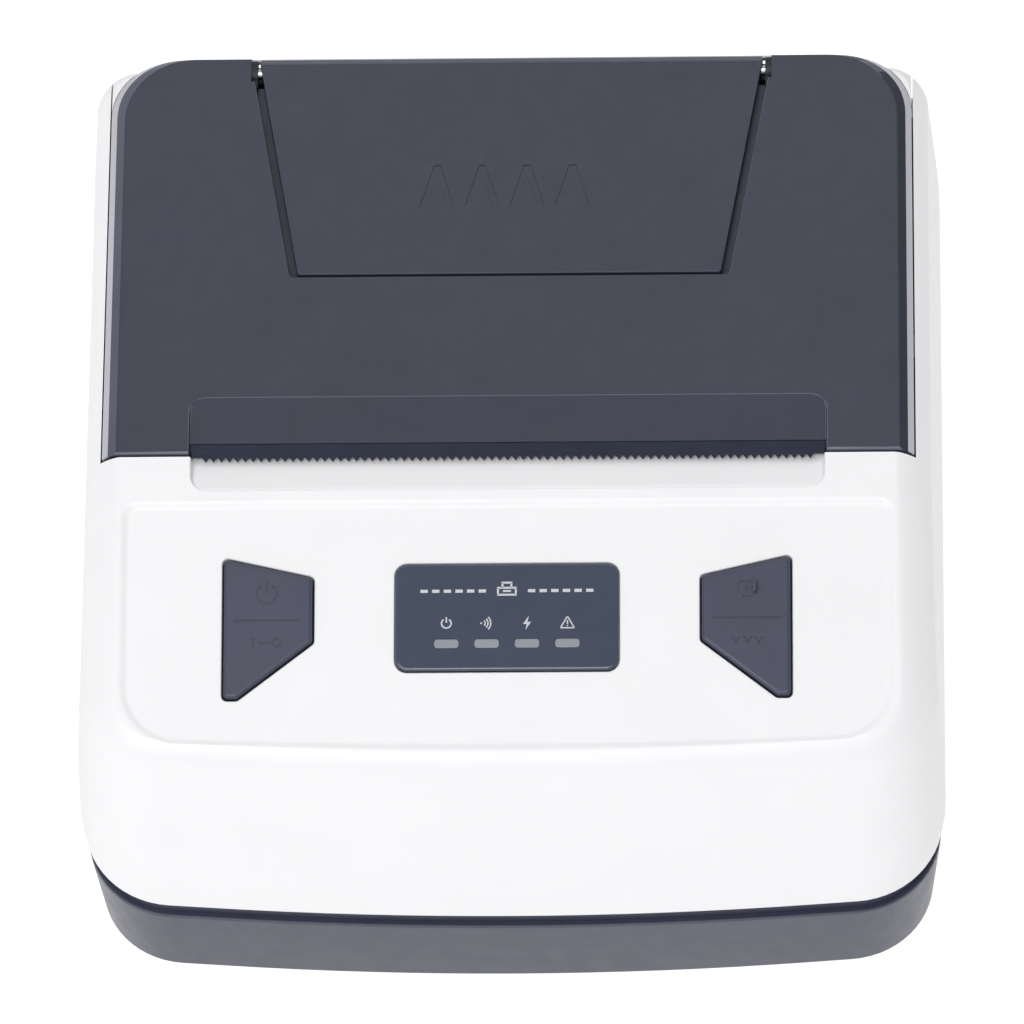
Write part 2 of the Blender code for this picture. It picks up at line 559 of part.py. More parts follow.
slot = cutter("cover_shell_slot", prism(rounded(SLOT_X, TEAR_Y - 6, SLOT_REAR_Y, 1.9), 40, 70, "XY"))
keep(slot, "floor", prism([(-20, slot_floor(-20)), (SLOT_REAR_Y + 1, slot_floor(SLOT_REAR_Y + 1)),
                           (SLOT_REAR_Y + 1, 62), (-20, 62)], -60, 60))
boolean(cover, slot)
SEAT_Z = slot_floor(BAR_REAR_Y) - BAR_THICK - 0.05
cut(cover, "bar_seat", prism([(BAR_REAR_Y, SEAT_Z), (BAR_REAR_Y, 60), (-9, 60), (-9, SEAT_Z - 1.0)], -SLOT_X, SLOT_X))
cut(cover, "lip_clearance", box((-SLOT_X, -9, 40), (SLOT_X, LIP_Y + GAP, 60)))


def flap_outline(gap_side, gap_front, rear_y):
    ratio = (FLAP_REAR_X - FLAP_FRONT_X) / (FLAP_REAR_Y - FLAP_FRONT_Y)
    front_y = FLAP_FRONT_Y - gap_front
    front_x = FLAP_FRONT_X + gap_side - ratio * gap_front
    rear_x = FLAP_REAR_X + gap_side + ratio * (rear_y - FLAP_REAR_Y)
    return [(-front_x, front_y), (front_x, front_y), (rear_x, rear_y), (-rear_x, rear_y)]


PIVOT_Y, POCKET_Z, TRAY_Z = 50.4, 52.55, 54.52
cut(cover, "flap_opening", prism(flap_outline(FLAP_SIDE_GAP, FLAP_FRONT_GAP, 53.2), TRAY_Z, 60, "XY"))
pocket_x = FLAP_REAR_X + FLAP_SIDE_GAP - 0.15
cut(cover, "flap_pocket", box((-pocket_x, PIVOT_Y, POCKET_Z), (pocket_x, 53.2, 60)))
cut(cover, "flap_rear", box((-FLAP_REAR_X - 0.3, 53.0, POCKET_Z), (FLAP_REAR_X + 0.3, 60, 60)))
cut(cover, "web_top", box((-pocket_x, 53.0, 55.7), (pocket_x, 60, 60)))
join(cover, "tray", box((-35.3, 19.5, 53.7), (35.3, PIVOT_Y, TRAY_Z)))
cut(cover, "lever_slot", box((-5.6, 48.2, 53.0), (5.6, PIVOT_Y + 0.3, 60)))
cut(cover, "ear_notches", merged(box((44.1, 47.0, 40), (47.5, 60, 53.1)), box((-47.5, 47.0, 40), (-44.1, 60, 53.1))))
cut(cover, "pin_holes", merged(rod(1.28, 46, 49.2, "X", (HINGE_Y, HINGE_Z), 24),
                               rod(1.28, -49.2, -46, "X", (HINGE_Y, HINGE_Z), 24)))
cut(cover, "flap_pin_holes", merged(rod(0.86, 30, 35.4, "X", (FLAP_PIN_Y, FLAP_PIN_Z), 20),
                                    rod(0.86, -35.4, -30, "X", (FLAP_PIN_Y, FLAP_PIN_Z), 20)))

TOOTH_ROOT_Y = -4.95
tear_points = [(-41.0, BAR_REAR_Y - 0.05), (-41.0, TOOTH_ROOT_Y)]
first_tooth = -TOOTH_PITCH * TEETH_COUNT / 2
for index in range(TEETH_COUNT):
    start = first_tooth + index * TOOTH_PITCH
    tear_points.append((start, TOOTH_ROOT_Y))
    tear_points.append((start + TOOTH_PITCH / 2, TOOTH_ROOT_Y - TOOTH_DEPTH))
tear_points += [(-first_tooth, TOOTH_ROOT_Y), (41.0, TOOTH_ROOT_Y), (41.0, BAR_REAR_Y - 0.05)]
strip = prism(tear_points, SEAT_Z + 0.03, SEAT_Z + 0.03 + BAR_THICK, "XY")
pivot = Matrix.Translation(Vector((0, BAR_REAR_Y, SEAT_Z)) * MM)
bmesh.ops.transform(strip, matrix=pivot @ Matrix.Rotation(BAR_TILT, 4, "X") @ pivot.inverted(), verts=strip.verts)
tear_bar = piece("tear_bar", strip, "black")

liner = piece("cover_liner", box((-39.5, 7.2, 50.6), (39.5, 50.0, 51.8)), "grey")
cut(liner, "windows", merged(*[box((x - 9, 14, 50), (x + 9, 44, 53)) for x in (-25.0, 25.0)]))
POST_X = 37.5
join(liner, "posts", merged(*[rod(1.8, 51.0, 54.4, "Z", (x, y), 16) for x in (-POST_X, POST_X)
                              for y in (18.0, 40.0)]))
for number, (x, y) in enumerate([(-POST_X, 18.0), (POST_X, 18.0)], 1):
    cut(liner, "screw_hole_%d" % number, rod(1.0, 49.0, 53.6, "Z", (x, y), 12))
    made = piece("liner_screw_%d" % number, rod(1.7, 49.6, 50.5, "Z", (x, y), 16), "steel")
    join(made, "shank", rod(0.8, 50.0, 53.4, "Z", (x, y), 12))

for side, name in ((-1, "platen_bracket_left"), (1, "platen_bracket_right")):
    low, high = sorted((side * 41.5, side * 42.9))
    outline = arc((PLATEN_Y, PLATEN_Z), 3.0, 180, 360, 10) + [(PLATEN_Y + 3.0, 53.0), (PLATEN_Y - 3.0, 53.0)]
    bracket = piece(name, prism(outline, low, high), "steel")
    cut(bracket, "bore", rod(1.56, -60, 60, "X", (PLATEN_Y, PLATEN_Z), 24))

for side, name in ((-1, "flap_pin_left"), (1, "flap_pin_right")):
    low, high = sorted((side * 29.0, side * 35.2))
    piece(name, rod(0.8, low, high, "X", (FLAP_PIN_Y, FLAP_PIN_Z), 20), "steel")

# release flap: a plate with a round rear edge that turns on the two pins
flap = piece("release_flap", prism(flap_outline(0.0, 0.0, FLAP_PIN_Y), 54.8, TOP_Z, "XY"), "dark",
             origin=(0, FLAP_PIN_Y, FLAP_PIN_Z))
join(flap, "round_edge", rod(1.8, -FLAP_REAR_X, FLAP_REAR_X, "X", (FLAP_PIN_Y, FLAP_PIN_Z), 32))
join(flap, "lever", box((-5, FLAP_PIN_Y - 1.6, FLAP_PIN_Z - 3.0), (5, FLAP_PIN_Y - 0.5, FLAP_PIN_Z)))
cut(flap, "pin_holes", merged(rod(0.86, 28.8, 40, "X", (FLAP_PIN_Y, FLAP_PIN_Z), 20),
                              rod(0.86, -40, -28.8, "X", (FLAP_PIN_Y, FLAP_PIN_Z), 20)))

# white caps carry the line of the case's rims round the rear corners, and swing with the cover
for side, name in ((-1, "corner_cap_left"), (1, "corner_cap_right")):
    cap = piece(name, loft(CASE_LEVELS), "white")
    low, high = sorted((side * 47.6, side * (RIM_X - 0.2)))
    keep(cap, "height", box((low, 40.0, HINGE_Z), (high, 60.0, RIM_Z)))
    cut(cap, "cover_side", loft(COVER_LEVELS[:2], inset=-0.06, low=40.0, high=70.0))

# latch slider: pushed forward by the flap's lever; two hooks sit under the catches in the case
slider = piece("latch_slider", box((-5, 11.5, 52.2), (5, FLAP_PIN_Y - 2.0, 53.4)), "gear")
join(slider, "crossbar", box((-49.4, 8.4, 52.2), (49.4, 12.4, 53.4)))
for side in (-1, 1):
    low, high = sorted((side * 47.7, side * 49.4))
    label = "left" if side < 0 else "right"
    join(slider, "arm_" + label, box((low, 8.6, 44.1), (high, 11.4, 53.0)))
    join(slider, "nose_" + label, box((low, 11.0, 44.1), (high, 14.4, 45.7)))

# platen: shaft, rubber roller, end bushes and gear
axis_point = (0, PLATEN_Y, PLATEN_Z)
shaft = piece("platen_shaft", rod(1.5, -49.0, 49.0, "X", (PLATEN_Y, PLATEN_Z), 24), "steel", origin=axis_point)
roller = piece("platen_roller", rod(PLATEN_R, -40.5, 40.5, "X", (PLATEN_Y, PLATEN_Z), 40), "rubber", True,
               origin=axis_point)
cut(roller, "bore", rod(1.52, -60, 60, "X", (PLATEN_Y, PLATEN_Z), 24))
for side, name in ((-1, "platen_bush_left"), (1, "platen_bush_right")):
    low, high = sorted((side * 47.4, side * 48.5))
    bush = piece(name, rod(2.1, low, high, "X", (PLATEN_Y, PLATEN_Z), 24), "gear", origin=axis_point)
    cut(bush, "bore", rod(1.52, -60, 60, "X", (PLATEN_Y, PLATEN_Z), 24))
platen_gear = piece("platen_gear", prism(gear_outline(PLATEN_TEETH, (PLATEN_Y, PLATEN_Z), platen_phase),
                                         GEAR_X0, GEAR_X1), "gear", origin=axis_point)
cut(platen_gear, "bore", rod(1.52, 40, 50, "X", (PLATEN_Y, PLATEN_Z), 24))
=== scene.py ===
"""Looks for the portable thermal label printer: finished shells, keys, display, materials, light and camera.

Lengths are in millimetres and meshes are made in metres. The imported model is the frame: +X right, front -Y.
"""
import json
import math

import bmesh
import bpy
from mathutils import Matrix, Vector

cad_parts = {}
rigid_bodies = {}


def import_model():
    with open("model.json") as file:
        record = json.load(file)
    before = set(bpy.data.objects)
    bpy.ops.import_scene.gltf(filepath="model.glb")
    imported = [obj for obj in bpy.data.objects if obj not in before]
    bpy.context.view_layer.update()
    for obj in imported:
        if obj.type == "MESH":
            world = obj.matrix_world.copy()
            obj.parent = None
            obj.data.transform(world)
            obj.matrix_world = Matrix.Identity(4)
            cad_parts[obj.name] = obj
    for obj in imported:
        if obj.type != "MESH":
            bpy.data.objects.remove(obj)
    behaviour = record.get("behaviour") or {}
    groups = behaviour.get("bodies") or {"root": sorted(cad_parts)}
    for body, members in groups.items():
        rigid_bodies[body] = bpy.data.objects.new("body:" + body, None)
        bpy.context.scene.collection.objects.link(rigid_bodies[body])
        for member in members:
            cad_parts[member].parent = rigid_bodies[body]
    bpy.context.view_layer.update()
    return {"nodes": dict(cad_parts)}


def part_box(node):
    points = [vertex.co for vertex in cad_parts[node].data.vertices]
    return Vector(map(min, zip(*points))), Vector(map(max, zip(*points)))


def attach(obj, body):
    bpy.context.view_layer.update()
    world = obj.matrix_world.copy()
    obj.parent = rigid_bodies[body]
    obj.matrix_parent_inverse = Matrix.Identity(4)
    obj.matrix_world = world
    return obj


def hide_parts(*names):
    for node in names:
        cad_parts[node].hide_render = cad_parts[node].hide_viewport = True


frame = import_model()

MM = 0.001

# ---------------------------------------------------------------- sizes taken from the frame
cover_low, cover_high = (Vector(corner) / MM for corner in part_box("cover_shell"))
TOP_Z = cover_high.z
TEAR_Y = cover_low.y
flap_low, flap_high = (Vector(corner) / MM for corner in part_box("release_flap"))
FLAP_FRONT_Y, FLAP_REAR_Y, FLAP_REAR_X = flap_low.y, flap_high.y, flap_high.x
HINGE_Y, HINGE_Z = 51.5, 50.3
FLAP_PIN_Y, FLAP_PIN_Z = 52.6, 54.7
PANEL_SLOPE = math.radians(12.0)
WALL = 2.0
GAP = 0.3
# the holes for the hinge pins and the flap's pins
HINGE_HOLE_R, FLAP_HOLE_R = 1.28, 0.86
# a distance past the printer on every side, for cutters that run right through
FAR = 80.0

# (z, half width, front y at the corners, rear y, front corner r, rear corner r, bow of the front)
CASE_LEVELS = [
    (20.3, 56.0, -52.6, 54.2, 12.0, 9.0, 1.8),
    (24.0, 56.4, -51.9, 54.4, 12.0, 9.0, 1.8),
    (32.0, 56.3, -49.6, 54.4, 12.0, 8.4, 1.8),
    (42.0, 55.6, -46.4, 54.4, 11.0, 7.0, 1.8),
    (50.5, 54.85, -43.6, 54.4, 9.0, 5.6, 1.8),
    (57.5, 54.4, -41.4, 54.4, 8.0, 5.2, 1.8),
]
BASE_LEVELS = [
    (0.8, 53.6, -51.1, 52.0, 10.5, 8.0, 1.8),
    (1.1, 54.2, -51.6, 52.6, 11.0, 8.5, 1.8),
    (2.0, 54.8, -52.0, 53.1, 11.5, 8.7, 1.8),
    (16.7, 55.8, -52.5, 54.0, 11.9, 8.9, 1.8),
    (17.0, 55.7, -52.4, 53.9, 11.8, 8.8, 1.8),
    (17.1, 55.45, -52.15, 53.65, 11.6, 8.6, 1.8),
]
# the cover's sides are straight up to its chamfer, which ends at the smaller flat top
COVER_SIDE = (52.6, -45.0, 54.3, 8.0, 8.4, 1.8)
COVER_TOP = (50.7, -45.0, 53.8, 8.0, 9.2, 1.8)


# ---------------------------------------------------------------- mesh tools
def finish_mesh(name, bm, collection):
    mesh = bpy.data.meshes.new(name)
    bm.normal_update()
    bm.to_mesh(mesh)
    bm.free()
    obj = bpy.data.objects.new(name, mesh)
    collection.objects.link(obj)
    return obj


looks = bpy.data.collections.new("looks")
tools = bpy.data.collections.new("cutters")
bpy.context.scene.collection.children.link(looks)
bpy.context.scene.collection.children.link(tools)


def piece(name, bm):
    return finish_mesh(name, bm, looks)


def cutter(name, bm):
    obj = finish_mesh(name, bm, tools)
    obj.hide_render = True
    return obj


def boolean(target, bm, operation="DIFFERENCE"):
    """Apply one boolean step to the target at once."""
    tool = cutter(target.name + "_tool", bm)
    apply_boolean(target, tool, operation)


def apply_boolean(target, tool, operation="DIFFERENCE"):
    step = target.modifiers.new("step", "BOOLEAN")
    step.operation = operation
    step.solver = "EXACT"
    step.object = tool
    bake(target)
    bpy.data.objects.remove(tool)


def bake(obj):
    """Replace the object's mesh by its evaluated mesh and drop the modifiers."""
    graph = bpy.context.evaluated_depsgraph_get()
    mesh = bpy.data.meshes.new_from_object(obj.evaluated_get(graph))
    obj.modifiers.clear()
    old = obj.data
    obj.data = mesh
    bpy.data.meshes.remove(old)


def smooth(obj, degrees=32.0):
    """Smooth shading with sharp edges kept where faces meet at more than the angle."""
    bm = bmesh.new()
    bm.from_mesh(obj.data)
    limit = math.radians(degrees)
    for edge in bm.edges:
        edge.smooth = len(edge.link_faces) == 2 and edge.calc_face_angle(0.0) < limit
    for face in bm.faces:
        face.smooth = True
    bm.to_mesh(obj.data)
    bm.free()
    weigh = obj.modifiers.new("weighted", "WEIGHTED_NORMAL")
    weigh.mode = "FACE_AREA"
    weigh.weight = 80
    weigh.keep_sharp = True


def box(low, high):
    bm = bmesh.new()
    bmesh.ops.create_cube(bm, size=1.0)
    bmesh.ops.scale(bm, vec=(Vector(high) - Vector(low)) * MM, verts=bm.verts)
    bmesh.ops.translate(bm, vec=(Vector(high) + Vector(low)) / 2 * MM, verts=bm.verts)
    return bm


def rod(radius, start, end, axis="X", at=(0.0, 0.0), sides=48):
    """A cylinder along an axis, from start to end; at gives the other two coordinates."""
    bm = bmesh.new()
    bmesh.ops.create_cone(bm, cap_ends=True, segments=sides, radius1=radius * MM, radius2=radius * MM,
                          depth=(end - start) * MM)
    middle = (start + end) / 2
    turn = {"X": Matrix.Rotation(math.pi / 2, 4, "Y"), "Y": Matrix.Rotation(math.pi / 2, 4, "X"),
            "Z": Matrix.Identity(4)}[axis]
    place = {"X": (middle, at[0], at[1]), "Y": (at[0], middle, at[1]), "Z": (at[0], at[1], middle)}[axis]
    bmesh.ops.transform(bm, matrix=Matrix.Translation(Vector(place) * MM) @ turn, verts=bm.verts)
    return bm


def merged(parts):
    whole = bmesh.new()
    for part in parts:
        mesh = bpy.data.meshes.new("part")
        part.to_mesh(mesh)
        part.free()
        whole.from_mesh(mesh)
        bpy.data.meshes.remove(mesh)
    return whole


def skin(rings):
    """Join rings of equal length into one closed solid, with flat caps."""
    bm = bmesh.new()
    rows = [[bm.verts.new(Vector(point) * MM) for point in ring] for ring in rings]
    count = len(rows[0])
    for lower, upper in zip(rows, rows[1:]):
        for index in range(count):
            after = (index + 1) % count
            bm.faces.new((lower[index], lower[after], upper[after], upper[index]))
    bm.faces.new(list(reversed(rows[0])))
    bm.faces.new(rows[-1])
    bmesh.ops.recalc_face_normals(bm, faces=bm.faces)
    return bm


def prism(points, start, end, plane="YZ"):
    """A straight solid over a closed outline. Plane YZ runs along X, XY along Z, XZ along Y."""
    place = {"YZ": lambda p, t: (t, p[0], p[1]), "XY": lambda p, t: (p[0], p[1], t),
             "XZ": lambda p, t: (p[0], t, p[1])}[plane]
    return skin([[place(p, start) for p in points], [place(p, end) for p in points]])


def stacked(levels):
    """A solid from (height, outline) levels, drawn flat."""
    return skin([[(x, y, height) for x, y in outline] for height, outline in levels])


def arc(centre, radius, start, end, steps):
    points = []
    for index in range(steps + 1):
        angle = math.radians(start + (end - start) * index / steps)
        points.append((centre[0] + radius * math.cos(angle), centre[1] + radius * math.sin(angle)))
    return points


def rounded_box(half_x, low, high, radius, steps=8):
    points = arc((half_x - radius, high - radius), radius, 0, 90, steps)
    points += arc((-half_x + radius, high - radius), radius, 90, 180, steps)
    points += arc((-half_x + radius, low + radius), radius, 180, 270, steps)
    points += arc((half_x - radius, low + radius), radius, 270, 360, steps)
    return points


def turned(points):
    """Anticlockwise order."""
    area = sum(a[0] * b[1] - b[0] * a[1] for a, b in zip(points, points[1:] + points[:1]))
    return points if area > 0 else list(reversed(points))


def grown(points, amount):
    """Offset an anticlockwise convex outline outwards."""
    count = len(points)
    moved = []
    for index in range(count):
        before = Vector(points[index - 1])
        here = Vector(points[index])
        after = Vector(points[(index + 1) % count])
        first = (here - before).normalized()
        second = (after - here).normalized()
        out_a = Vector((first.y, -first.x))
        out_b = Vector((second.y, -second.x))
        middle = (out_a + out_b).normalized()
        moved.append(tuple(here + middle * amount / max(middle.dot(out_a), 0.3)))
    return moved


def rounded_corners(points, radii, steps=8):
    """Replace each corner of an anticlockwise outline by an arc of its radius."""
    points = [Vector(p) for p in points]
    count = len(points)
    result = []
    for index in range(count):
        here = points[index]
        to_before = (points[index - 1] - here).normalized()
        to_after = (points[(index + 1) % count] - here).normalized()
        half = to_before.angle(to_after) / 2
        radius = radii[index]
        reach = radius / math.tan(half)
        centre = here + (to_before + to_after).normalized() * (radius / math.sin(half))
        start = here + to_before * reach - centre
        sweep = math.pi - 2 * half
        for step in range(steps + 1):
            turn = sweep * step / steps
            spun = Vector((start.x * math.cos(turn) - start.y * math.sin(turn),
                           start.x * math.sin(turn) + start.y * math.cos(turn)))
            result.append(tuple(centre + spun))
    return result


# ---------------------------------------------------------------- the case's outer form
def level_at(levels, z):
    """Read the table of levels at any height, with a smooth curve that never overshoots."""
    if z <= levels[0][0]:
        return levels[0][1:]
    if z >= levels[-1][0]:
        return levels[-1][1:]
    index = max(i for i in range(len(levels) - 1) if levels[i][0] <= z)
    span = levels[index + 1][0] - levels[index][0]
    t = (z - levels[index][0]) / span
    values = []
    for column in range(1, 7):
        def slope(i):
            return (levels[i + 1][column] - levels[i][column]) / (levels[i + 1][0] - levels[i][0])

        def tangent(i):
            if i == 0:
                return slope(0)
            if i == len(levels) - 1:
                return slope(i - 1)
            a, b = slope(i - 1), slope(i)
            return 0.0 if a * b <= 0 else 2 * a * b / (a + b)

        a, b = levels[index][column], levels[index + 1][column]
        ta, tb = tangent(index) * span, tangent(index + 1) * span
        values.append(a + ta * t + (3 * (b - a) - 2 * ta - tb) * t * t + (2 * (a - b) + ta + tb) * t ** 3)
    return values


CORNER_STEPS, SIDE_STEPS, FRONT_STEPS = 14, 10, 18
SPLIT_Y = TEAR_Y - GAP
RING = 4 * (CORNER_STEPS + 1) + 2 * (SIDE_STEPS - 1) + (FRONT_STEPS - 1)


def side_y(front, rear, step):
    """Points of a straight side, from front to rear; the middle one lies at the tear line."""
    half_way = SIDE_STEPS // 2
    if step <= half_way:
        return front + (SPLIT_Y - front) * step / half_way
    return SPLIT_Y + (rear - SPLIT_Y) * (step - half_way) / half_way


def case_point(index, row, inset):
    """Point number index of the plan outline, and its outward direction."""
    half, front, rear, front_r, rear_r, bow = row
    half -= inset
    front += inset
    rear -= inset
    front_r = max(front_r - inset, 1.0)
    rear_r = max(rear_r - inset, 1.0)
    corner = CORNER_STEPS + 1

    def on_arc(centre, radius, start, end, step):
        angle = math.radians(start + (end - start) * step / CORNER_STEPS)
        out = (math.cos(angle), math.sin(angle))
        return (centre[0] + radius * out[0], centre[1] + radius * out[1]), out

    if index < corner:
        return on_arc((half - rear_r, rear - rear_r), rear_r, 0, 90, index)
    index -= corner
    if index < corner:
        return on_arc((-half + rear_r, rear - rear_r), rear_r, 90, 180, index)
    index -= corner
    if index < SIDE_STEPS - 1:
        return (-half, side_y(front + front_r, rear - rear_r, SIDE_STEPS - 1 - index)), (-1.0, 0.0)
    index -= SIDE_STEPS - 1
    if index < corner:
        return on_arc((-half + front_r, front + front_r), front_r, 180, 266, index)
    index -= corner
    if index < FRONT_STEPS - 1:
        across = -1.0 + 2.0 * (index + 1) / FRONT_STEPS
        return (across * (half - front_r), front - bow * (1.0 - across * across)), (0.0, -1.0)
    index -= FRONT_STEPS - 1
    if index < corner:
        return on_arc((half - front_r, front + front_r), front_r, 274, 360, index)
    index -= corner
    return (half, side_y(front + front_r, rear - rear_r, index + 1)), (1.0, 0.0)


def plain_form(levels, inset=0.0, heights=None, low=None, high=None):
    """The case's form between flat ends."""
    heights = list(heights or [row[0] for row in levels])
    rings = []
    for z in heights:
        row = level_at(levels, z)
        shown = z
        if low is not None and z == heights[0]:
            shown = low
        if high is not None and z == heights[-1]:
            shown = high
        rings.append([(*case_point(i, row, inset)[0], shown) for i in range(RING)])
    return skin(rings)


def straight_ring(row, inset, low, high):
    """A solid with upright walls over one plan outline."""
    return skin([[(*case_point(i, row, inset)[0], z) for i in range(RING)] for z in (low, high)])


def slope_z(y, drop=0.0):
    """Height of the sloping panel plane at y, lowered by drop along its normal."""
    return TOP_Z - (TEAR_Y - y) * math.tan(PANEL_SLOPE) - drop / math.cos(PANEL_SLOPE)


SIDE_REACH, SIDE_DROP, SIDE_POWER = 4.4, 5.4, 1.3
FRONT_ROUND, BOTTOM_ROUND = 2.2, 0.4
WALL_RINGS, ROUND_RINGS = 22, 10


def top_plane(y):
    """The sloping panel's plane up to the tear line, and level behind it."""
    return slope_z(min(y, SPLIT_Y))


def case_form():
    """The white case as one solid: rounded lower edge, flared wall, rounded shoulder and the top."""
    bottom = CASE_LEVELS[0][0]
    rings = []
    for step in range(4):
        angle = math.pi / 2 * step / 4
        inset = BOTTOM_ROUND * (1 - math.sin(angle))
        z = bottom + BOTTOM_ROUND * (1 - math.cos(angle))
        row = level_at(CASE_LEVELS, bottom)
        rings.append([(*case_point(i, row, inset)[0], z) for i in range(RING)])
    start = bottom + BOTTOM_ROUND

    def shoulder(i):
        """How far in and down the shoulder reaches, and its curve: wide at the sides, small in front."""
        out = case_point(i, level_at(CASE_LEVELS, 48.0), 0.0)[1]
        front = max(0.0, -out[1]) ** 2
        return [a + (b - a) * front for a, b in ((SIDE_REACH, FRONT_ROUND), (SIDE_DROP, FRONT_ROUND),
                                                 (SIDE_POWER, 1.0))]

    shoulders = [shoulder(i) for i in range(RING)]

    def settle(i, inset, drop):
        """Find the point of the wall, inset inwards, whose height is drop under the top plane."""
        z = 50.0
        for _ in range(6):
            spot = case_point(i, level_at(CASE_LEVELS, z), inset)[0]
            z = top_plane(spot[1]) - drop
        return (*spot, z)

    edges = [settle(i, 0.0, shoulders[i][1]) for i in range(RING)]
    for step in range(WALL_RINGS):
        t = step / WALL_RINGS
        ring = []
        for i in range(RING):
            z = start + (edges[i][2] - start) * t
            ring.append((*case_point(i, level_at(CASE_LEVELS, z), 0.0)[0], z))
        rings.append(ring)
    for step in range(ROUND_RINGS + 1):
        angle = math.pi / 2 * step / ROUND_RINGS
        ring = []
        for i in range(RING):
            reach, drop, power = shoulders[i]
            inwards = reach * (1 - math.cos(angle) ** power)
            ring.append(settle(i, inwards, drop * (1 - math.sin(angle) ** power)))
        rings.append(ring)
    bm = skin(rings)
    bm.verts.ensure_lookup_table()
    top = (len(rings) - 1) * RING
    left = 2 * (CORNER_STEPS + 1) + SIDE_STEPS // 2 - 1
    right = RING - SIDE_STEPS // 2
    bmesh.ops.connect_verts(bm, verts=[bm.verts[top + left], bm.verts[top + right]])
    return bm


PANEL = Matrix.Translation(Vector((0, TEAR_Y, TOP_Z)) * MM) @ Matrix.Rotation(PANEL_SLOPE, 4, "X")


def on_panel(bm):
    """Move a solid drawn flat (x, v, w) onto the sloping panel."""
    bmesh.ops.transform(bm, matrix=PANEL, verts=bm.verts)
    return bm


def flipped(points, side):
    return turned([(side * x, y) for x, y in points])


def dress(obj, body, slot, *nodes):
    """Ride on a body and stand for the CAD nodes given, which are hidden. The slot is not used."""
    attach(obj, body)
    if nodes:
        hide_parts(*nodes)
    return obj


# ---------------------------------------------------------------- white case
SIDE_TOP_Z = HINGE_Z - GAP
RIM_X, RIM_Z = 52.8, 55.1
LIP_X, LIP_Y = 40.88, -4.5
SCREWS = [(-49.3, -33.0), (49.3, -33.0), (-49.3, 33.0), (49.3, 33.0)]
TROUGH_R = 4.65
PANEL_RECESS = 0.4

case = piece("white_case", case_form())
room = cutter("case_room", plain_form(CASE_LEVELS, WALL, None, 10.0, 90.0))
ceiling = [(-FAR, -5), (-FAR, slope_z(-FAR, WALL)), (-13.0, slope_z(-13.0, WALL)), (-10.0, 52.2),
           (LIP_Y - 0.1, 52.2), (LIP_Y - 0.1, 50.8), (FAR, 50.8), (FAR, -5)]
boolean(room, prism(ceiling, -FAR, FAR), "INTERSECT")
apply_boolean(case, room)
boolean(case, box((-RIM_X, LIP_Y, SIDE_TOP_Z), (RIM_X, FAR, FAR)))
for side in (-1, 1):
    low, high = sorted((side * LIP_X, side * RIM_X))
    boolean(case, box((low, TEAR_Y - GAP, SIDE_TOP_Z), (high, 0, FAR)))
boolean(case, rod(TROUGH_R, -RIM_X, RIM_X, "X", (HINGE_Y, HINGE_Z), 96))
EAR_R, EARS = 2.2, ((-47.1, -44.5), (44.5, 47.1))
ear = arc((HINGE_Y, HINGE_Z), EAR_R, 0, 180, 16)
ear += [(HINGE_Y - EAR_R, 40.0), (HINGE_Y + 1.6, 40.0), (HINGE_Y + EAR_R, 43.0)]
for low, high in EARS:
    boolean(case, prism(ear, low, high), "UNION")
for x, y in SCREWS:
    boolean(case, rod(2.9, 3.1, 30.0, "Z", (x, y), 32), "UNION")
    low, high = sorted((x, math.copysign(55.5, x)))
    boolean(case, box((low, y - 1.0, 22.5), (high, y + 1.0, 29.0)), "UNION")
boolean(case, merged([rod(1.2, 2, 14, "Z", spot, 24) for spot in SCREWS]))
boolean(case, merged([rod(1.25, low, high, "X", (HINGE_Y, HINGE_Z), 24)
                      for low, high in ((-49, -43), (43, 49))]))

# the roof ramps down to a lip under the tear bar
RAMP_X, RAMP_FRONT_Y, RAMP_END_Z = 40.9, -10.0, 54.2
ramp_outline = rounded_box(RAMP_X, RAMP_FRONT_Y, LIP_Y + 3, 2.0)
ramp_fall = (slope_z(RAMP_FRONT_Y) - 0.12 - RAMP_END_Z) / (LIP_Y - RAMP_FRONT_Y)


def ramp_floor(y):
    return slope_z(RAMP_FRONT_Y) - 0.12 - ramp_fall * (y - RAMP_FRONT_Y)


# (share of the way from the ramp's floor up to the panel, growth of the outline)
ramp_edge = [(0.0, -0.5), (0.06, -0.22), (0.16, -0.08), (0.3, 0.0), (0.8, 0.06), (0.95, 0.16),
             (1.02, 0.3), (4.0, 0.4)]
rings = []
for share, amount in ramp_edge:
    ring = []
    for (x, y), (_, by) in zip(grown(ramp_outline, amount), ramp_outline):
        ring.append((x, y, ramp_floor(by) + (slope_z(by) - ramp_floor(by)) * share))
    rings.append(ring)
boolean(case, skin(rings))

panel_area = (arc((47.9, -8.4), 1.6, 0, 90, 6) + arc((-47.9, -8.4), 1.6, 90, 180, 6)
              + arc((-42.0, -31.0), 7.5, 180, 262, 14)
              + [(-42.0 + 84.0 * t / 16, -38.45 - 0.85 * (1 - (t / 8 - 1) ** 2)) for t in range(1, 16)]
              + arc((42.0, -31.0), 7.5, 278, 360, 14))
soft_edge = [(-PANEL_RECESS, -0.75), (-PANEL_RECESS + 0.01, -0.5), (-PANEL_RECESS + 0.06, -0.3),
             (-PANEL_RECESS + 0.15, -0.14), (-0.14, 0.08), (-0.05, 0.26), (-0.01, 0.5), (0.6, 0.9)]
boolean(case, on_panel(stacked([(w, grown(panel_area, amount)) for w, amount in soft_edge])))

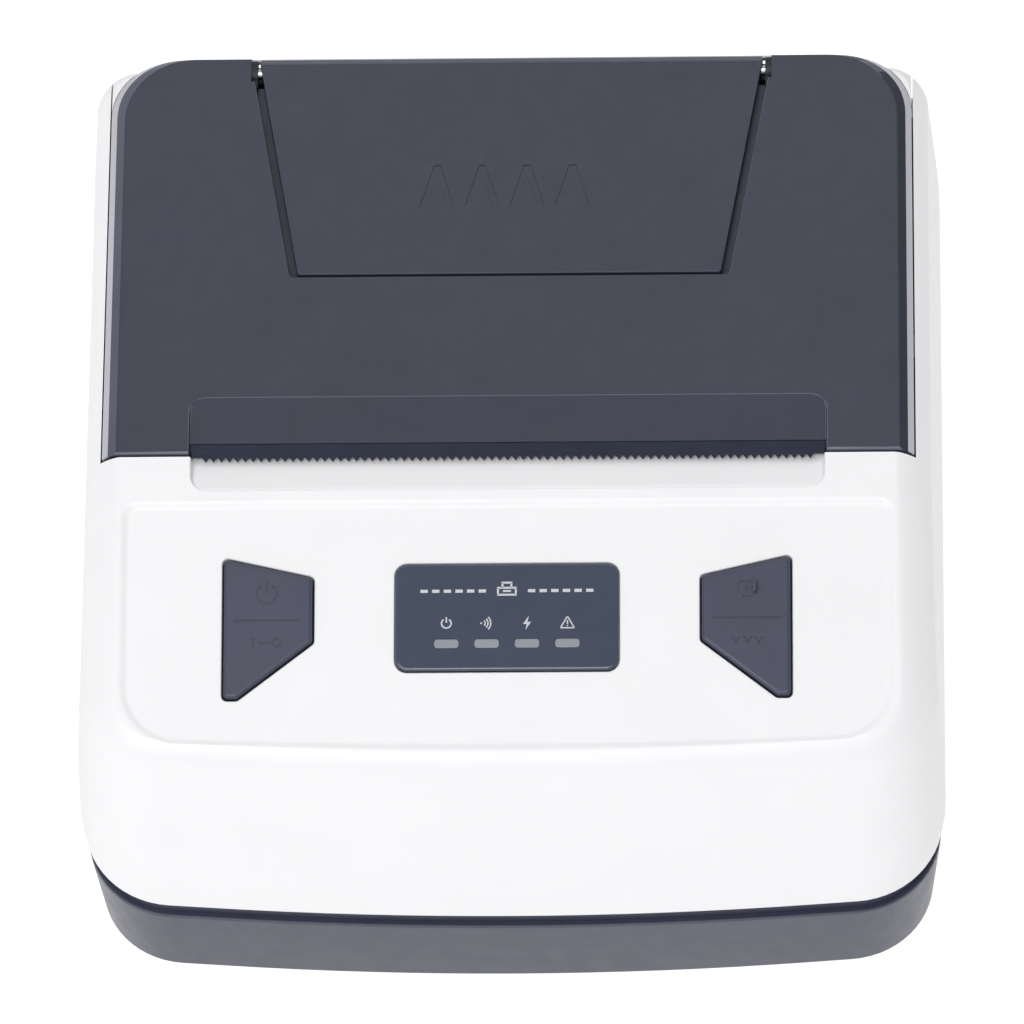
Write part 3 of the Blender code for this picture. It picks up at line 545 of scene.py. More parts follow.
WINDOW_X, WINDOW_V0, WINDOW_V1, WINDOW_R = 14.4, -29.2, -14.9, 1.6
window_seat = rounded_box(WINDOW_X + 0.1, WINDOW_V0 - 0.1, WINDOW_V1 + 0.1, WINDOW_R)
hole_edge = [(-0.58, 0.0), (-0.46, 0.05), (-0.38, 0.16), (1.0, 0.17)]
boolean(case, on_panel(stacked([(-1.35, window_seat)] + [(w, grown(window_seat, a)) for w, a in hole_edge])))
LED_X = [-7.8, -2.6, 2.6, 7.8]
LED_V = -25.6
boolean(case, on_panel(merged([box((x - 1.9, LED_V - 0.9, -6), (x + 1.9, LED_V + 0.9, 2)) for x in LED_X])))
BUTTON = [(36.5, -14.1), (25.1, -16.7), (25.1, -25.2), (34.8, -32.7), (36.5, -32.7)]
for side in (-1, 1):
    hole = rounded_corners(flipped(grown(turned(BUTTON), 0.25), side), [0.7] * 5)
    boolean(case, on_panel(stacked([(-8.0, hole)] + [(w, grown(hole, a)) for w, a in hole_edge])))
smooth(case)
dress(case, "case", "upper_shell", "upper_shell")

# ---------------------------------------------------------------- dark base
base = piece("dark_base", plain_form(BASE_LEVELS))
boolean(base, plain_form(BASE_LEVELS, 2.2, None, 2.8, 30.0))
STEP_INSET, STEP_TOP, TONGUE_INSET, TONGUE_TOP = 0.95, 19.95, 2.3, 22.0


def rim(profile, inner):
    """A ring round the case: (height, inset) rows outside, one inset inside."""
    row = CASE_LEVELS[0][1:]
    rings = [[(*case_point(i, row, inset)[0], z) for i in range(RING)] for z, inset in profile]
    solid = cutter("rim", skin(rings))
    low, high = profile[0][0] - 5, profile[-1][0] + 5
    boolean(solid, straight_ring(row, inner, low, high))
    return solid


step_edge = [(15.0, STEP_INSET), (18.1, STEP_INSET), (18.2, STEP_INSET + 0.12), (18.35, STEP_INSET + 0.12),
             (18.45, STEP_INSET), (STEP_TOP - 0.2, STEP_INSET), (STEP_TOP, STEP_INSET + 0.2)]
apply_boolean(base, rim(step_edge, 3.5), "UNION")
apply_boolean(base, rim([(14.0, TONGUE_INSET), (TONGUE_TOP, TONGUE_INSET)], 3.4), "UNION")
BATTERY_X, BATTERY_Y0, BATTERY_Y1 = 32.0, -47.5, -17.5
door_x = BATTERY_X + 0.7
opening = [(x, y + (BATTERY_Y0 + BATTERY_Y1) / 2) for x, y in rounded_box(BATTERY_X + 1, -16.0, 16.0, 1.5)]
boolean(base, stacked([(-2.0, grown(opening, 0.25)), (0.95, grown(opening, 0.2)),
                       (1.15, opening), (6.0, opening)]))
FEET = [(-42.0, -38.0), (42.0, -38.0), (-42.0, 38.0), (42.0, 38.0)]
FOOT_R = 4.0
boolean(base, merged([rod(FOOT_R + 0.15, -1, 1.4, "Z", spot, 64) for spot in FEET]))
boolean(base, merged([rod(2.6, -1, 2.0, "Z", spot, 48) for spot in SCREWS]))
boolean(base, merged([rod(1.4, 1, 4, "Z", spot, 32) for spot in SCREWS]))
PORT_Y, PORT_Z = -18.0, 13.0
port_area = [(y + PORT_Y, z + PORT_Z) for y, z in rounded_box(4.7, -1.8, 1.8, 1.2)]
boolean(base, prism(port_area, -60, -50))
port_dish = [(y + PORT_Y, z + PORT_Z) for y, z in rounded_box(6.2, -2.9, 2.9, 2.2)]
boolean(base, skin([[(x, y, z) for y, z in grown(port_dish, amount)]
                    for x, amount in ((-60, 0.5), (-55.4, 0.1), (-54.9, -0.3))]))
ridges = [box((-22 + 2.2 * i, 44.0, 0.0), (-21 + 2.2 * i, 48.0, 1.2)) for i in range(21)]
boolean(base, merged(ridges))
smooth(base)
dress(base, "case", "base_shell", "base_shell")

door_outline = [(x, y + (BATTERY_Y0 + BATTERY_Y1) / 2) for x, y in rounded_box(door_x, -15.7, 15.7, 1.2)]
door = piece("base_door", stacked([(0.9, grown(door_outline, -0.3)), (0.98, grown(door_outline, -0.1)),
                                   (1.15, door_outline), (2.7, door_outline)]))
arrow = [(0.0, -45.6), (3.4, -43.4), (3.4, -42.4), (0.0, -44.6), (-3.4, -42.4), (-3.4, -43.4)]
boolean(door, merged([prism([(x, y + 2.0 * i) for x, y in arrow], 0.0, 1.3, "XY") for i in range(4)]))
boolean(door, merged([rod(1.3, -1, 4, "Z", (0.0, -21.0), 32), rod(2.3, -1, 1.95, "Z", (0.0, -21.0), 48)]))
smooth(door)
dress(door, "case", "battery_door", "battery_door")

# ---------------------------------------------------------------- dark cover
# the chamfer in two facets: (share of the way in, share of the way up)
CHAMFER_LOW = 55.05
STEEP = [(0.0, 0.0), (0.03, 0.06), (0.36, 0.5), (0.42, 0.57)]
SHALLOW = [(0.42, 0.57), (0.9, 0.93), (0.98, 0.98), (1.12, 1.0)]


def cover_row(share):
    return [a + (b - a) * share for a, b in zip(COVER_SIDE, COVER_TOP)]


def cover_rings(edge, low, inset=0.0):
    """Rings of the cover's outside, from the height low up along the facets of the edge."""
    rings = [[(*case_point(i, COVER_SIDE, inset)[0], z) for i in range(RING)] for z in low]
    for inwards, upwards in edge:
        z = CHAMFER_LOW + (TOP_Z - CHAMFER_LOW) * upwards
        rings.append([(*case_point(i, cover_row(inwards), inset)[0], z) for i in range(RING)])
    return rings


BAND_DEPTH = 0.35
lower_edge = [(0.0, 0.0)] + STEEP[1:3] + [(0.42, 0.568)]
body_rings = cover_rings(lower_edge, (45.0, 50.0, 54.6), BAND_DEPTH) + cover_rings(SHALLOW, ())
cover = piece("dark_cover", skin(body_rings))
# below the chamfer the body stands out to its full width again
boolean(cover, skin(cover_rings([], (45.0, CHAMFER_LOW - 0.35))), "UNION")
LUG_R = 4.3
lug = arc((HINGE_Y, HINGE_Z), LUG_R, 180, 360, 40)
nose = [(TEAR_Y + 0.6 - 0.6 * math.sin(a), TOP_Z + 0.02 - 0.6 * (1 - math.cos(a))) for a in
        [math.pi / 2 * k / 6 for k in range(7)]]
cover_profile = [(TEAR_Y, HINGE_Z)] + lug
cover_profile += [(FAR, HINGE_Z), (FAR, TOP_Z + 3), (TEAR_Y + 3, TOP_Z + 3)] + nose
boolean(cover, prism(cover_profile, -FAR, FAR), "INTERSECT")
room = cutter("cover_room", straight_ring(COVER_SIDE, WALL, 10, 70))
lid_ceiling = [(-2.9, 20), (-2.9, 53.2), (4.6, 53.2), (5.6, TOP_Z - WALL), (FAR, TOP_Z - WALL), (FAR, 20)]
boolean(room, prism(lid_ceiling, -FAR, FAR), "INTERSECT")
apply_boolean(cover, room)

# a paler band is set into the steep facet of the cover's edge; its colour is a painted reflection of the
# bright surroundings in the dark plastic
band = piece("cover_edge_band", skin(cover_rings(STEEP, (CHAMFER_LOW - 0.3,))))
boolean(band, skin(cover_rings([(a, b + 0.02) for a, b in lower_edge[:3]] + [(0.42, 0.58), (0.42, 1.2)],
                               (45.0, CHAMFER_LOW - 0.3), BAND_DEPTH)))
boolean(band, box((-FAR, TEAR_Y + 0.12, 40), (FAR, FAR, 70)), "INTERSECT")
smooth(band, 25)
dress(band, "cover", "cover_shell")

# the paper slot: its floor falls towards the tear bar
SLOT_X, SLOT_REAR_Y, BAR_REAR_Y = 41.2, 3.1, -3.2
FLOOR_FALL, BAR_TILT, BAR_THICK = 0.13, math.radians(8.5), 0.35
slot_outline = rounded_box(SLOT_X, TEAR_Y - 6, SLOT_REAR_Y, 2.1, 12)


def slot_floor(y):
    return TOP_Z - 0.1 - (SLOT_REAR_Y - y) * FLOOR_FALL


# (share of the way from the slot's floor up to the top, height above that, growth of the outline)
slot_edge = [(0.0, 0.0, -0.1), (0.1, 0.0, 0.0), (0.6, 0.0, 0.03), (0.85, 0.0, 0.1), (1.0, 0.01, 0.28),
             (1.0, 3.0, 0.5)]
rings = []
for share, lift, amount in slot_edge:
    rings.append([(x, y, slot_floor(by) + (TOP_Z - slot_floor(by)) * share + lift)
                  for (x, y), (_, by) in zip(grown(slot_outline, amount), slot_outline)])
boolean(cover, skin(rings))
SEAT_Z = slot_floor(BAR_REAR_Y) - BAR_THICK - 0.05
boolean(cover, prism([(BAR_REAR_Y, SEAT_Z), (BAR_REAR_Y, 60), (-9, 60), (-9, SEAT_Z - 1.0)], -SLOT_X + 0.01,
                     SLOT_X - 0.01))
boolean(cover, box((-SLOT_X + 0.01, -9, 40), (SLOT_X - 0.01, LIP_Y + GAP, 60)))

FLAP_FRONT_X, FLAP_SIDE_GAP, FLAP_FRONT_GAP = 27.6, 1.1, 0.35
flap_ratio = (FLAP_REAR_X - FLAP_FRONT_X) / (FLAP_REAR_Y - FLAP_FRONT_Y)


def flap_outline(gap_side, gap_front, rear_y):
    """Anticlockwise from the front left corner."""
    front_x = FLAP_FRONT_X + gap_side - flap_ratio * gap_front
    rear_x = FLAP_REAR_X + gap_side + flap_ratio * (rear_y - FLAP_REAR_Y)
    front_y = FLAP_FRONT_Y - gap_front
    return [(-front_x, front_y), (front_x, front_y), (rear_x, rear_y), (-rear_x, rear_y)]


PIVOT_Y, POCKET_Z, TRAY_Z = 50.4, 52.55, 54.52
opening = rounded_corners(flap_outline(FLAP_SIDE_GAP, FLAP_FRONT_GAP, 53.2), [0.7, 0.7, 0.2, 0.2])
rings = [(TRAY_Z, opening), (TOP_Z - 0.2, opening), (TOP_Z - 0.07, grown(opening, 0.05)),
         (TOP_Z + 0.01, grown(opening, 0.16)), (60.0, grown(opening, 0.3))]
boolean(cover, stacked(rings))
pocket_x = FLAP_REAR_X + FLAP_SIDE_GAP - 0.15
boolean(cover, box((-pocket_x, PIVOT_Y, POCKET_Z), (pocket_x, 53.2, 60)))
boolean(cover, box((-FLAP_REAR_X - 0.3, 53.0, POCKET_Z), (FLAP_REAR_X + 0.3, 60, 60)))
boolean(cover, box((-pocket_x, 53.0, 55.7), (pocket_x, 60, 60)))
boolean(cover, box((-5.6, 48.2, 53.0), (5.6, PIVOT_Y + 0.3, 60)))
# the tray under the flap is coloured near-black: painted shade for the deep pocket
tray = piece("flap_tray", box((-35.3, 19.5, 53.7), (35.3, PIVOT_Y, TRAY_Z - 0.03)))
boolean(tray, box((-5.6, 48.2, 50), (5.6, 60, 60)))
for side in (-1, 1):
    low, high = sorted((side * (FLAP_REAR_X + 0.12), side * (FLAP_REAR_X + 1.05)))
    boolean(tray, box((low, PIVOT_Y - 0.5, 53.7), (high, FLAP_PIN_Y, 55.6)), "UNION")
    boolean(tray, rod(1.72, low, high, "X", (FLAP_PIN_Y, FLAP_PIN_Z), 48), "UNION")
    boolean(tray, rod(FLAP_HOLE_R, low - 1, high + 1, "X", (FLAP_PIN_Y, FLAP_PIN_Z), 24))
smooth(tray)
dress(tray, "cover", "cover_shell")
boolean(cover, merged([box((low - 0.4, 47.0, 40), (high + 0.4, 60, 53.1)) for low, high in EARS]))
boolean(cover, merged([rod(HINGE_HOLE_R, low, high, "X", (HINGE_Y, HINGE_Z), 24)
                       for low, high in ((-49.2, -46), (46, 49.2))]))
boolean(cover, merged([rod(FLAP_HOLE_R, low, high, "X", (FLAP_PIN_Y, FLAP_PIN_Z), 24) for low, high in
                       ((-35.4, -30), (30, 35.4))]))
smooth(cover)
dress(cover, "cover", "cover_shell", "cover_shell")

# tear bar: a thin dark strip on the slot's lip, with a row of fine teeth
TEETH, TOOTH_PITCH, TOOTH_DEPTH, TOOTH_ROOT_Y, BAR_X = 77, 1.03, 0.65, -4.95, 41.0
first_tooth = -TOOTH_PITCH * TEETH / 2
points = [(-BAR_X, BAR_REAR_Y - 0.05), (-BAR_X, TOOTH_ROOT_Y)]
for index in range(TEETH):
    start = first_tooth + index * TOOTH_PITCH
    points += [(start + 0.04, TOOTH_ROOT_Y), (start + TOOTH_PITCH / 2, TOOTH_ROOT_Y - TOOTH_DEPTH),
               (start + TOOTH_PITCH - 0.04, TOOTH_ROOT_Y)]
points += [(BAR_X, TOOTH_ROOT_Y), (BAR_X, BAR_REAR_Y - 0.05)]
strip = prism(points, SEAT_Z + 0.03, SEAT_Z + 0.03 + BAR_THICK, "XY")
pivot = Matrix.Translation(Vector((0, BAR_REAR_Y, SEAT_Z)) * MM)
tilt = pivot @ Matrix.Rotation(BAR_TILT, 4, "X") @ pivot.inverted()
bmesh.ops.transform(strip, matrix=tilt, verts=strip.verts)
bar = piece("serrated_bar", strip)
smooth(bar, 20)
dress(bar, "cover", "tear_bar", "tear_bar")

# white caps carry the line of the case's rims round the rear corners
for side, name in ((-1, "corner_cap_left"), (1, "corner_cap_right")):
    cap = piece("white_" + name, case_form())
    low, high = sorted((side * 47.6, side * (RIM_X - 0.2)))
    boolean(cap, box((low, 40.0, HINGE_Z), (high, 60.0, RIM_Z)), "INTERSECT")
    boolean(cap, straight_ring(COVER_SIDE, -0.06, 40.0, 70.0))
    smooth(cap)
    dress(cap, "cover", name, name)

# release flap
profile = ([(FLAP_FRONT_Y - 2, TOP_Z), (FLAP_FRONT_Y - 2, 54.8), (FLAP_PIN_Y - 1.79, 54.8)]
           + arc((FLAP_PIN_Y, FLAP_PIN_Z), 1.8, 180, 450, 44))
flap = piece("dark_flap", prism(profile, -FLAP_REAR_X - 2, FLAP_REAR_X + 2))
plan = rounded_corners(flap_outline(0.0, 0.0, FLAP_REAR_Y + 0.02), [0.5, 0.5, 1.1, 1.1])
boolean(flap, stacked([(50.0, plan), (TOP_Z - 0.3, plan), (TOP_Z - 0.13, grown(plan, -0.04)),
                       (TOP_Z - 0.03, grown(plan, -0.14)), (TOP_Z + 0.01, grown(plan, -0.34))]), "INTERSECT")
boolean(flap, box((-5, FLAP_PIN_Y - 1.6, FLAP_PIN_Z - 3.0), (5, FLAP_PIN_Y - 0.5, FLAP_PIN_Z)), "UNION")
boolean(flap, merged([rod(FLAP_HOLE_R, low, high, "X", (FLAP_PIN_Y, FLAP_PIN_Z), 24) for low, high in
                      ((-40, -28.8), (28.8, 40))]))
MARK_Y, MARK_H, MARK_W, MARK_PITCH, MARK_DEPTH = 34.4, 3.1, 2.3, 5.9, 0.14
chevrons = []
for row in range(4):
    x0 = (row - 1.5) * MARK_PITCH - 0.7
    foot, head = MARK_Y - MARK_H, MARK_Y + MARK_H
    outline = [(x0 - MARK_W, foot), (x0 - MARK_W + 0.95, foot), (x0, head - 2.0), (x0 + MARK_W - 0.95, foot),
               (x0 + MARK_W, foot), (x0 + 0.45, head), (x0 - 0.45, head)]
    chevrons.append(prism(outline, TOP_Z - MARK_DEPTH, TOP_Z + 1.0, "XY"))
boolean(flap, merged(chevrons))
smooth(flap)
dress(flap, "flap", "release_flap", "release_flap")

# ---------------------------------------------------------------- keys, drawn flat in the panel's frame
KEY_TOP, ICON_DEPTH = 0.15, 0.13


def ring_mark(centre, radius, width, start=0.0, end=360.0, steps=40):
    """A closed or open band: outer arc, then inner arc backwards."""
    outer = arc(centre, radius + width / 2, start, end, steps)
    inner = arc(centre, radius - width / 2, end, start, steps)
    return outer + inner


def stroke(start, end, width):
    a, b = Vector(start), Vector(end)
    along = (b - a).normalized()
    across = Vector((-along.y, along.x)) * width / 2
    return [tuple(a - across), tuple(b - across), tuple(b + across), tuple(a + across)]


def circle(centre, radius, steps=28):
    return arc(centre, radius, 0, 360, steps)[:-1]


def power_sign(x, v, size, width):
    return [ring_mark((x, v), size, width, 125, 415),
            stroke((x, v + size * 0.15), (x, v + size * 1.35), width)]


def feed_sign(x, v, size, width):
    """A strip of paper with an arrow that points out of it."""
    half = size * 0.85
    return [stroke((x - half, v + size * 1.05), (x + half, v + size * 1.05), width),
            stroke((x - half, v + size * 1.05), (x - half, v - size * 0.2), width),
            stroke((x + half, v + size * 1.05), (x + half, v - size * 0.2), width),
            stroke((x, v + size * 0.55), (x, v - size * 0.6), width),
            [(x - size * 0.5, v - size * 0.45), (x, v - size * 1.25), (x + size * 0.5, v - size * 0.45)]]


def on_off_marks(x, v, size, width):
    return [stroke((x - size * 1.5, v - size * 0.55), (x - size * 1.5, v + size * 0.55), width),
            ring_mark((x + size * 1.3, v), size * 0.5, width, 0, 180, 16),
            ring_mark((x + size * 1.3, v), size * 0.5, width, 180, 360, 16),
            stroke((x - size * 0.7, v), (x + size * 0.3, v), width)]


def step_marks(x, v, size, width):
    signs = []
    for turn in (-1.35, 0.0, 1.35):
        mid = x + turn * size
        signs.append(stroke((mid - size * 0.45, v + size * 0.4), (mid, v - size * 0.35), width))
        signs.append(stroke((mid, v - size * 0.35), (mid + size * 0.45, v + size * 0.4), width))
    return signs


def solids(outlines, low, high):
    return [on_panel(prism(turned(outline), low, high, "XY")) for outline in outlines]


for side, label, body in ((-1, "power_button", "power_key"), (1, "feed_button", "feed_key")):
    plan = rounded_corners(flipped(turned(BUTTON), side), [0.62] * 5)
    rows = [(-2.5, 0.0), (KEY_TOP - 0.42, 0.0), (KEY_TOP - 0.24, -0.05), (KEY_TOP - 0.1, -0.16),
            (KEY_TOP - 0.02, -0.34), (KEY_TOP, -0.56)]
    shape = on_panel(stacked([(w, grown(plan, a)) for w, a in rows]))
    key = piece("key_left" if side < 0 else "key_right", shape)
    boolean(key, on_panel(prism(grown(plan, 0.65), -3.4, -2.4, "XY")), "UNION")
    boolean(key, on_panel(rod(1.6, -4.8, -3.0, "Z", (side * 30.7, -22.5), 32)), "UNION")
    icon_x, icon_v = side * 30.9, -18.9
    icons = power_sign(icon_x, icon_v, 1.3, 0.34) if side < 0 else feed_sign(icon_x, icon_v, 1.2, 0.32)
    icons.append(stroke((side * 26.6, -22.45), (side * 35.2, -22.45), 0.3))
    row_x, row_v = side * 31.0, -25.4
    icons += on_off_marks(row_x, row_v, 1.1, 0.3) if side < 0 else step_marks(row_x, row_v, 1.1, 0.3)
    for solid in solids(icons, KEY_TOP - ICON_DEPTH, KEY_TOP + 1.0):
        boolean(key, solid)
    smooth(key)
    dress(key, body, label, label)

# ---------------------------------------------------------------- status panel
plan = rounded_box(WINDOW_X, WINDOW_V0, WINDOW_V1, WINDOW_R, 12)
rows = [(-1.3, 0.0), (-0.32, 0.0), (-0.18, -0.04), (-0.07, -0.13), (-0.01, -0.27), (0.0, -0.42)]
pane = piece("status_pane", on_panel(stacked([(w, grown(plan, a)) for w, a in rows])))
lens_plan = {x: [(x + px, LED_V + py) for px, py in rounded_box(1.62, -0.62, 0.62, 0.45, 8)] for x in LED_X}
boolean(pane, merged([on_panel(prism(lens_plan[x], -3.0, 1.0, "XY")) for x in LED_X]))
smooth(pane)
dress(pane, "case", "status_window", "status_window")
for number, x in enumerate(LED_X, 1):
    rows = [(-1.2, -0.03), (-0.05, -0.03), (-0.01, -0.08), (0.0, -0.18)]
    lens = piece("status_lens_%d" % number, on_panel(stacked([(w, grown(lens_plan[x], a)) for w, a in rows])))
    smooth(lens)
    dress(lens, "case", "status_led_%d" % number)

INK = 0.012


def printed(name, outlines):
    marks = piece(name, merged(solids(outlines, -0.05, INK)))
    dress(marks, "case", "status_window")
    return marks


def printer_sign(x, v, size, width):
    """A body with a sheet standing out of its top and a slot line."""
    low, high, sheet = v - size * 0.45, v + size * 0.35, v + size * 0.95
    half, end = size * 0.5, width / 2
    return [stroke((x - size, low), (x - size, high), width),
            stroke((x + size, low), (x + size, high), width),
            stroke((x - size - end, high), (x + size + end, high), width),
            stroke((x - size - end, low), (x + size + end, low), width),
            stroke((x - half, high), (x - half, sheet), width),
            stroke((x + half, high), (x + half, sheet), width),
            stroke((x - half - end, sheet), (x + half + end, sheet), width),
            stroke((x - size * 0.45, v - size * 0.02), (x + size * 0.45, v - size * 0.02), width)]


def waves_sign(x, v, size, width):
    source = (x - size * 0.7, v)
    rings = [ring_mark(source, size * reach, width, -42, 42, 16) for reach in (0.7, 1.2, 1.7)]
    return [circle(source, width * 0.75)] + rings


def bolt_sign(x, v, size, width):
    low, high = v - size * 0.15, v + size * 0.15
    return [[(x + size * 0.25, v + size), (x - size * 0.55, low), (x - size * 0.02, low)],
            [(x - size * 0.25, v - size), (x + size * 0.55, high), (x + size * 0.02, high)]]


def warning_sign(x, v, size, width):
    top, left, right = (x, v + size), (x - size * 1.05, v - size * 0.8), (x + size * 1.05, v - size * 0.8)
    return [stroke(top, left, width), stroke(left, right, width), stroke(right, top, width),
            stroke((x, v + size * 0.4), (x, v - size * 0.2), width),
            circle((x, v - size * 0.48), width * 0.55, 12)]


TITLE_V, SIGN_V = -18.6, -22.9
title = printer_sign(0.0, TITLE_V, 1.15, 0.26)
for side in (-1, 1):
    for step in range(6):
        start = side * (2.7 + 1.5 * step)
        title.append(stroke((start, TITLE_V), (start + side * 0.95, TITLE_V), 0.42))
marks = title + power_sign(LED_X[0], SIGN_V, 0.62, 0.2) + waves_sign(LED_X[1] - 0.2, SIGN_V, 0.72, 0.17)
marks += bolt_sign(LED_X[2], SIGN_V, 0.95, 0.2) + warning_sign(LED_X[3], SIGN_V, 0.85, 0.17)
print_marks = printed("status_marks", marks)

# ---------------------------------------------------------------- materials
def new_material(name):
    made = bpy.data.materials.new(name)
    made.use_nodes = True
    return made, made.node_tree, made.node_tree.nodes["Principled BSDF"]


def noise(tree, scale, detail=2.0, stretch=(1.0, 1.0, 1.0)):
    """Noise in the object's own coordinates; scale is in features per metre."""
    place = tree.nodes.new("ShaderNodeTexCoord")
    mapping = tree.nodes.new("ShaderNodeMapping")
    mapping.inputs["Scale"].default_value = stretch
    tree.links.new(place.outputs["Object"], mapping.inputs["Vector"])
    made = tree.nodes.new("ShaderNodeTexNoise")
    made.inputs["Scale"].default_value = scale
    made.inputs["Detail"].default_value = detail
    tree.links.new(mapping.outputs["Vector"], made.inputs["Vector"])
    return made.outputs["Fac"]


def span(tree, value, low, high, start=0.3, end=0.7):
    made = tree.nodes.new("ShaderNodeMapRange")
    made.inputs["From Min"].default_value = start
    made.inputs["From Max"].default_value = end
    made.inputs["To Min"].default_value = low
    made.inputs["To Max"].default_value = high
    tree.links.new(value, made.inputs["Value"])
    return made.outputs["Result"]


def tint(tree, value, dark, light):
    made = tree.nodes.new("ShaderNodeValToRGB")
    made.color_ramp.elements[0].position = 0.35
    made.color_ramp.elements[0].color = (*dark, 1.0)
    made.color_ramp.elements[1].position = 0.65
    made.color_ramp.elements[1].color = (*light, 1.0)
    tree.links.new(value, made.inputs["Fac"])
    return made.outputs["Color"]


def relief(tree, shader, value, strength, depth_mm, after=None):
    made = tree.nodes.new("ShaderNodeBump")
    made.inputs["Strength"].default_value = strength
    made.inputs["Distance"].default_value = depth_mm * MM
    tree.links.new(value, made.inputs["Height"])
    if after is not None:
        tree.links.new(after, made.inputs["Normal"])
    tree.links.new(made.outputs["Normal"], shader.inputs["Normal"])
    return made.outputs["Normal"]


def scaled(colour, factor):
    return tuple(min(channel * factor, 1.0) for channel in colour)


def moulded(name, colour, rough, vary=0.03, grain=0.012, grain_scale=3600.0, specular=0.5, coat=0.0):
    """Moulded plastic: fine eroded grain, faint mottling, uneven gloss."""
    made, tree, shader = new_material(name)
    mottle = noise(tree, 95.0, 3.0)
    tree.links.new(tint(tree, mottle, scaled(colour, 1 - vary), scaled(colour, 1 + vary)),
                   shader.inputs["Base Color"])
    tree.links.new(span(tree, noise(tree, 420.0, 4.0), rough - 0.035, rough + 0.035),
                   shader.inputs["Roughness"])
    shader.inputs["Specular IOR Level"].default_value = specular
    shader.inputs["Coat Weight"].default_value = coat
    wave = relief(tree, shader, noise(tree, 55.0, 1.0), 0.25, 0.02)
    relief(tree, shader, noise(tree, grain_scale, 2.0), 0.5, grain, wave)
    return made


def metal(name, colour, rough, stretch=(1.0, 1.0, 1.0), scale=900.0, depth=0.006):
    """Plain metal with fine scratches along one direction."""
    made, tree, shader = new_material(name)
    shader.inputs["Metallic"].default_value = 1.0
    lines = noise(tree, scale, 4.0, stretch)
    tree.links.new(tint(tree, lines, scaled(colour, 0.88), scaled(colour, 1.05)), shader.inputs["Base Color"])
    tree.links.new(span(tree, noise(tree, 160.0, 3.0), rough - 0.06, rough + 0.08),
                   shader.inputs["Roughness"])
    relief(tree, shader, lines, 0.4, depth)
    return made


def soft_rubber(name, colour, rough=0.75):
    made, tree, shader = new_material(name)
    grain = noise(tree, 2600.0, 3.0)
    tree.links.new(tint(tree, grain, scaled(colour, 0.8), scaled(colour, 1.3)), shader.inputs["Base Color"])
    tree.links.new(span(tree, noise(tree, 240.0), rough - 0.08, rough + 0.08), shader.inputs["Roughness"])
    shader.inputs["Sheen Weight"].default_value = 0.15
    relief(tree, shader, grain, 0.6, 0.02)
    return made


def circuit_board(name):
    """Solder mask over copper tracks: blocky cells give the tracks and pads."""
    made, tree, shader = new_material(name)
    place = tree.nodes.new("ShaderNodeTexCoord")
    cells = tree.nodes.new("ShaderNodeTexVoronoi")
    cells.distance = "CHEBYCHEV"
    cells.feature = "F2"
    cells.inputs["Scale"].default_value = 330.0
    tree.links.new(place.outputs["Object"], cells.inputs["Vector"])
    tracks = span(tree, cells.outputs["Distance"], 0.0, 1.0, 0.55, 0.6)
    mixed = tree.nodes.new("ShaderNodeMix")
    mixed.data_type = "RGBA"
    tree.links.new(tracks, mixed.inputs["Factor"])
    mixed.inputs["A"].default_value = (0.012, 0.11, 0.055, 1.0)
    mixed.inputs["B"].default_value = (0.03, 0.2, 0.09, 1.0)
    tree.links.new(mixed.outputs["Result"], shader.inputs["Base Color"])
    tree.links.new(span(tree, noise(tree, 300.0), 0.25, 0.4), shader.inputs["Roughness"])
    relief(tree, shader, tracks, 0.5, 0.03)
    return made


def edge_faces(obj, look, low=0.4, high=0.97, where=None):
    """Give the narrow rounded edges, whose faces lean between the limits, a colour of their own: a painted
    highlight or a painted shade on them.
    """
    obj.data.materials.append(look)
    for face in obj.data.polygons:
        if low < face.normal.z < high and (where is None or where(face.center / MM)):
            face.material_index = len(obj.data.materials) - 1


WHITE = (0.83, 0.83, 0.845)
DARK = (0.0285, 0.034, 0.057)
KEY_DARK = (0.044, 0.049, 0.084)
BASE_DARK = (0.031, 0.035, 0.064)

white = moulded("white_moulding", WHITE, 0.42, vary=0.006, grain=0.008)
dark = moulded("dark_moulding", DARK, 0.42, vary=0.05, grain=0.012)
dark_keys = moulded("dark_key_moulding", KEY_DARK, 0.4, vary=0.05, grain=0.008)
# painted highlight: a paler dark colour for the rounded edges of the cover and the flap, where they catch the
# light
edge_highlight_look = moulded("burnished_edge", (0.085, 0.095, 0.13), 0.34, vary=0.08, grain=0.004)
# painted shade: a darker colour for the cover's side facets on the right, away from the light
facet_shade_look = moulded("rim_moulding", (0.016, 0.019, 0.034), 0.4, vary=0.05, grain=0.008)
# painted shade: a near-black colour for the tray under the flap, standing for the deep shade of its pocket
pocket_shade_look = moulded("shaded_moulding", (0.007, 0.008, 0.014), 0.55, vary=0.05, grain=0.01)
base_look = moulded("base_moulding", BASE_DARK, 0.36, vary=0.05, grain=0.01)
pane_look = moulded("status_gloss", (0.035, 0.048, 0.085), 0.16, vary=0.03, grain=0.001, specular=0.6,
                    coat=0.3)
ink_look = moulded("printed_ink", (0.55, 0.57, 0.6), 0.5, vary=0.04, grain=0.002)
lens_look = moulded("lens_resin", (0.26, 0.28, 0.31), 0.22, vary=0.05, grain=0.001, coat=0.4)
bar_look = metal("tear_steel", (0.04, 0.044, 0.068), 0.42, (1.0, 12.0, 12.0), 700.0)
grey_look = moulded("grey_moulding", (0.13, 0.135, 0.16), 0.45, vary=0.04)
bay_look = moulded("bay_moulding", (0.12, 0.125, 0.15), 0.4, vary=0.04, grain=0.006)
gear_look = moulded("acetal", (0.72, 0.7, 0.63), 0.38, vary=0.03, grain=0.004)
black_look = moulded("black_resin", (0.016, 0.016, 0.018), 0.42, vary=0.1)
board_look = circuit_board("board_mask")
steel = metal("plain_steel", (0.6, 0.6, 0.62), 0.3, (1.0, 1.0, 8.0))
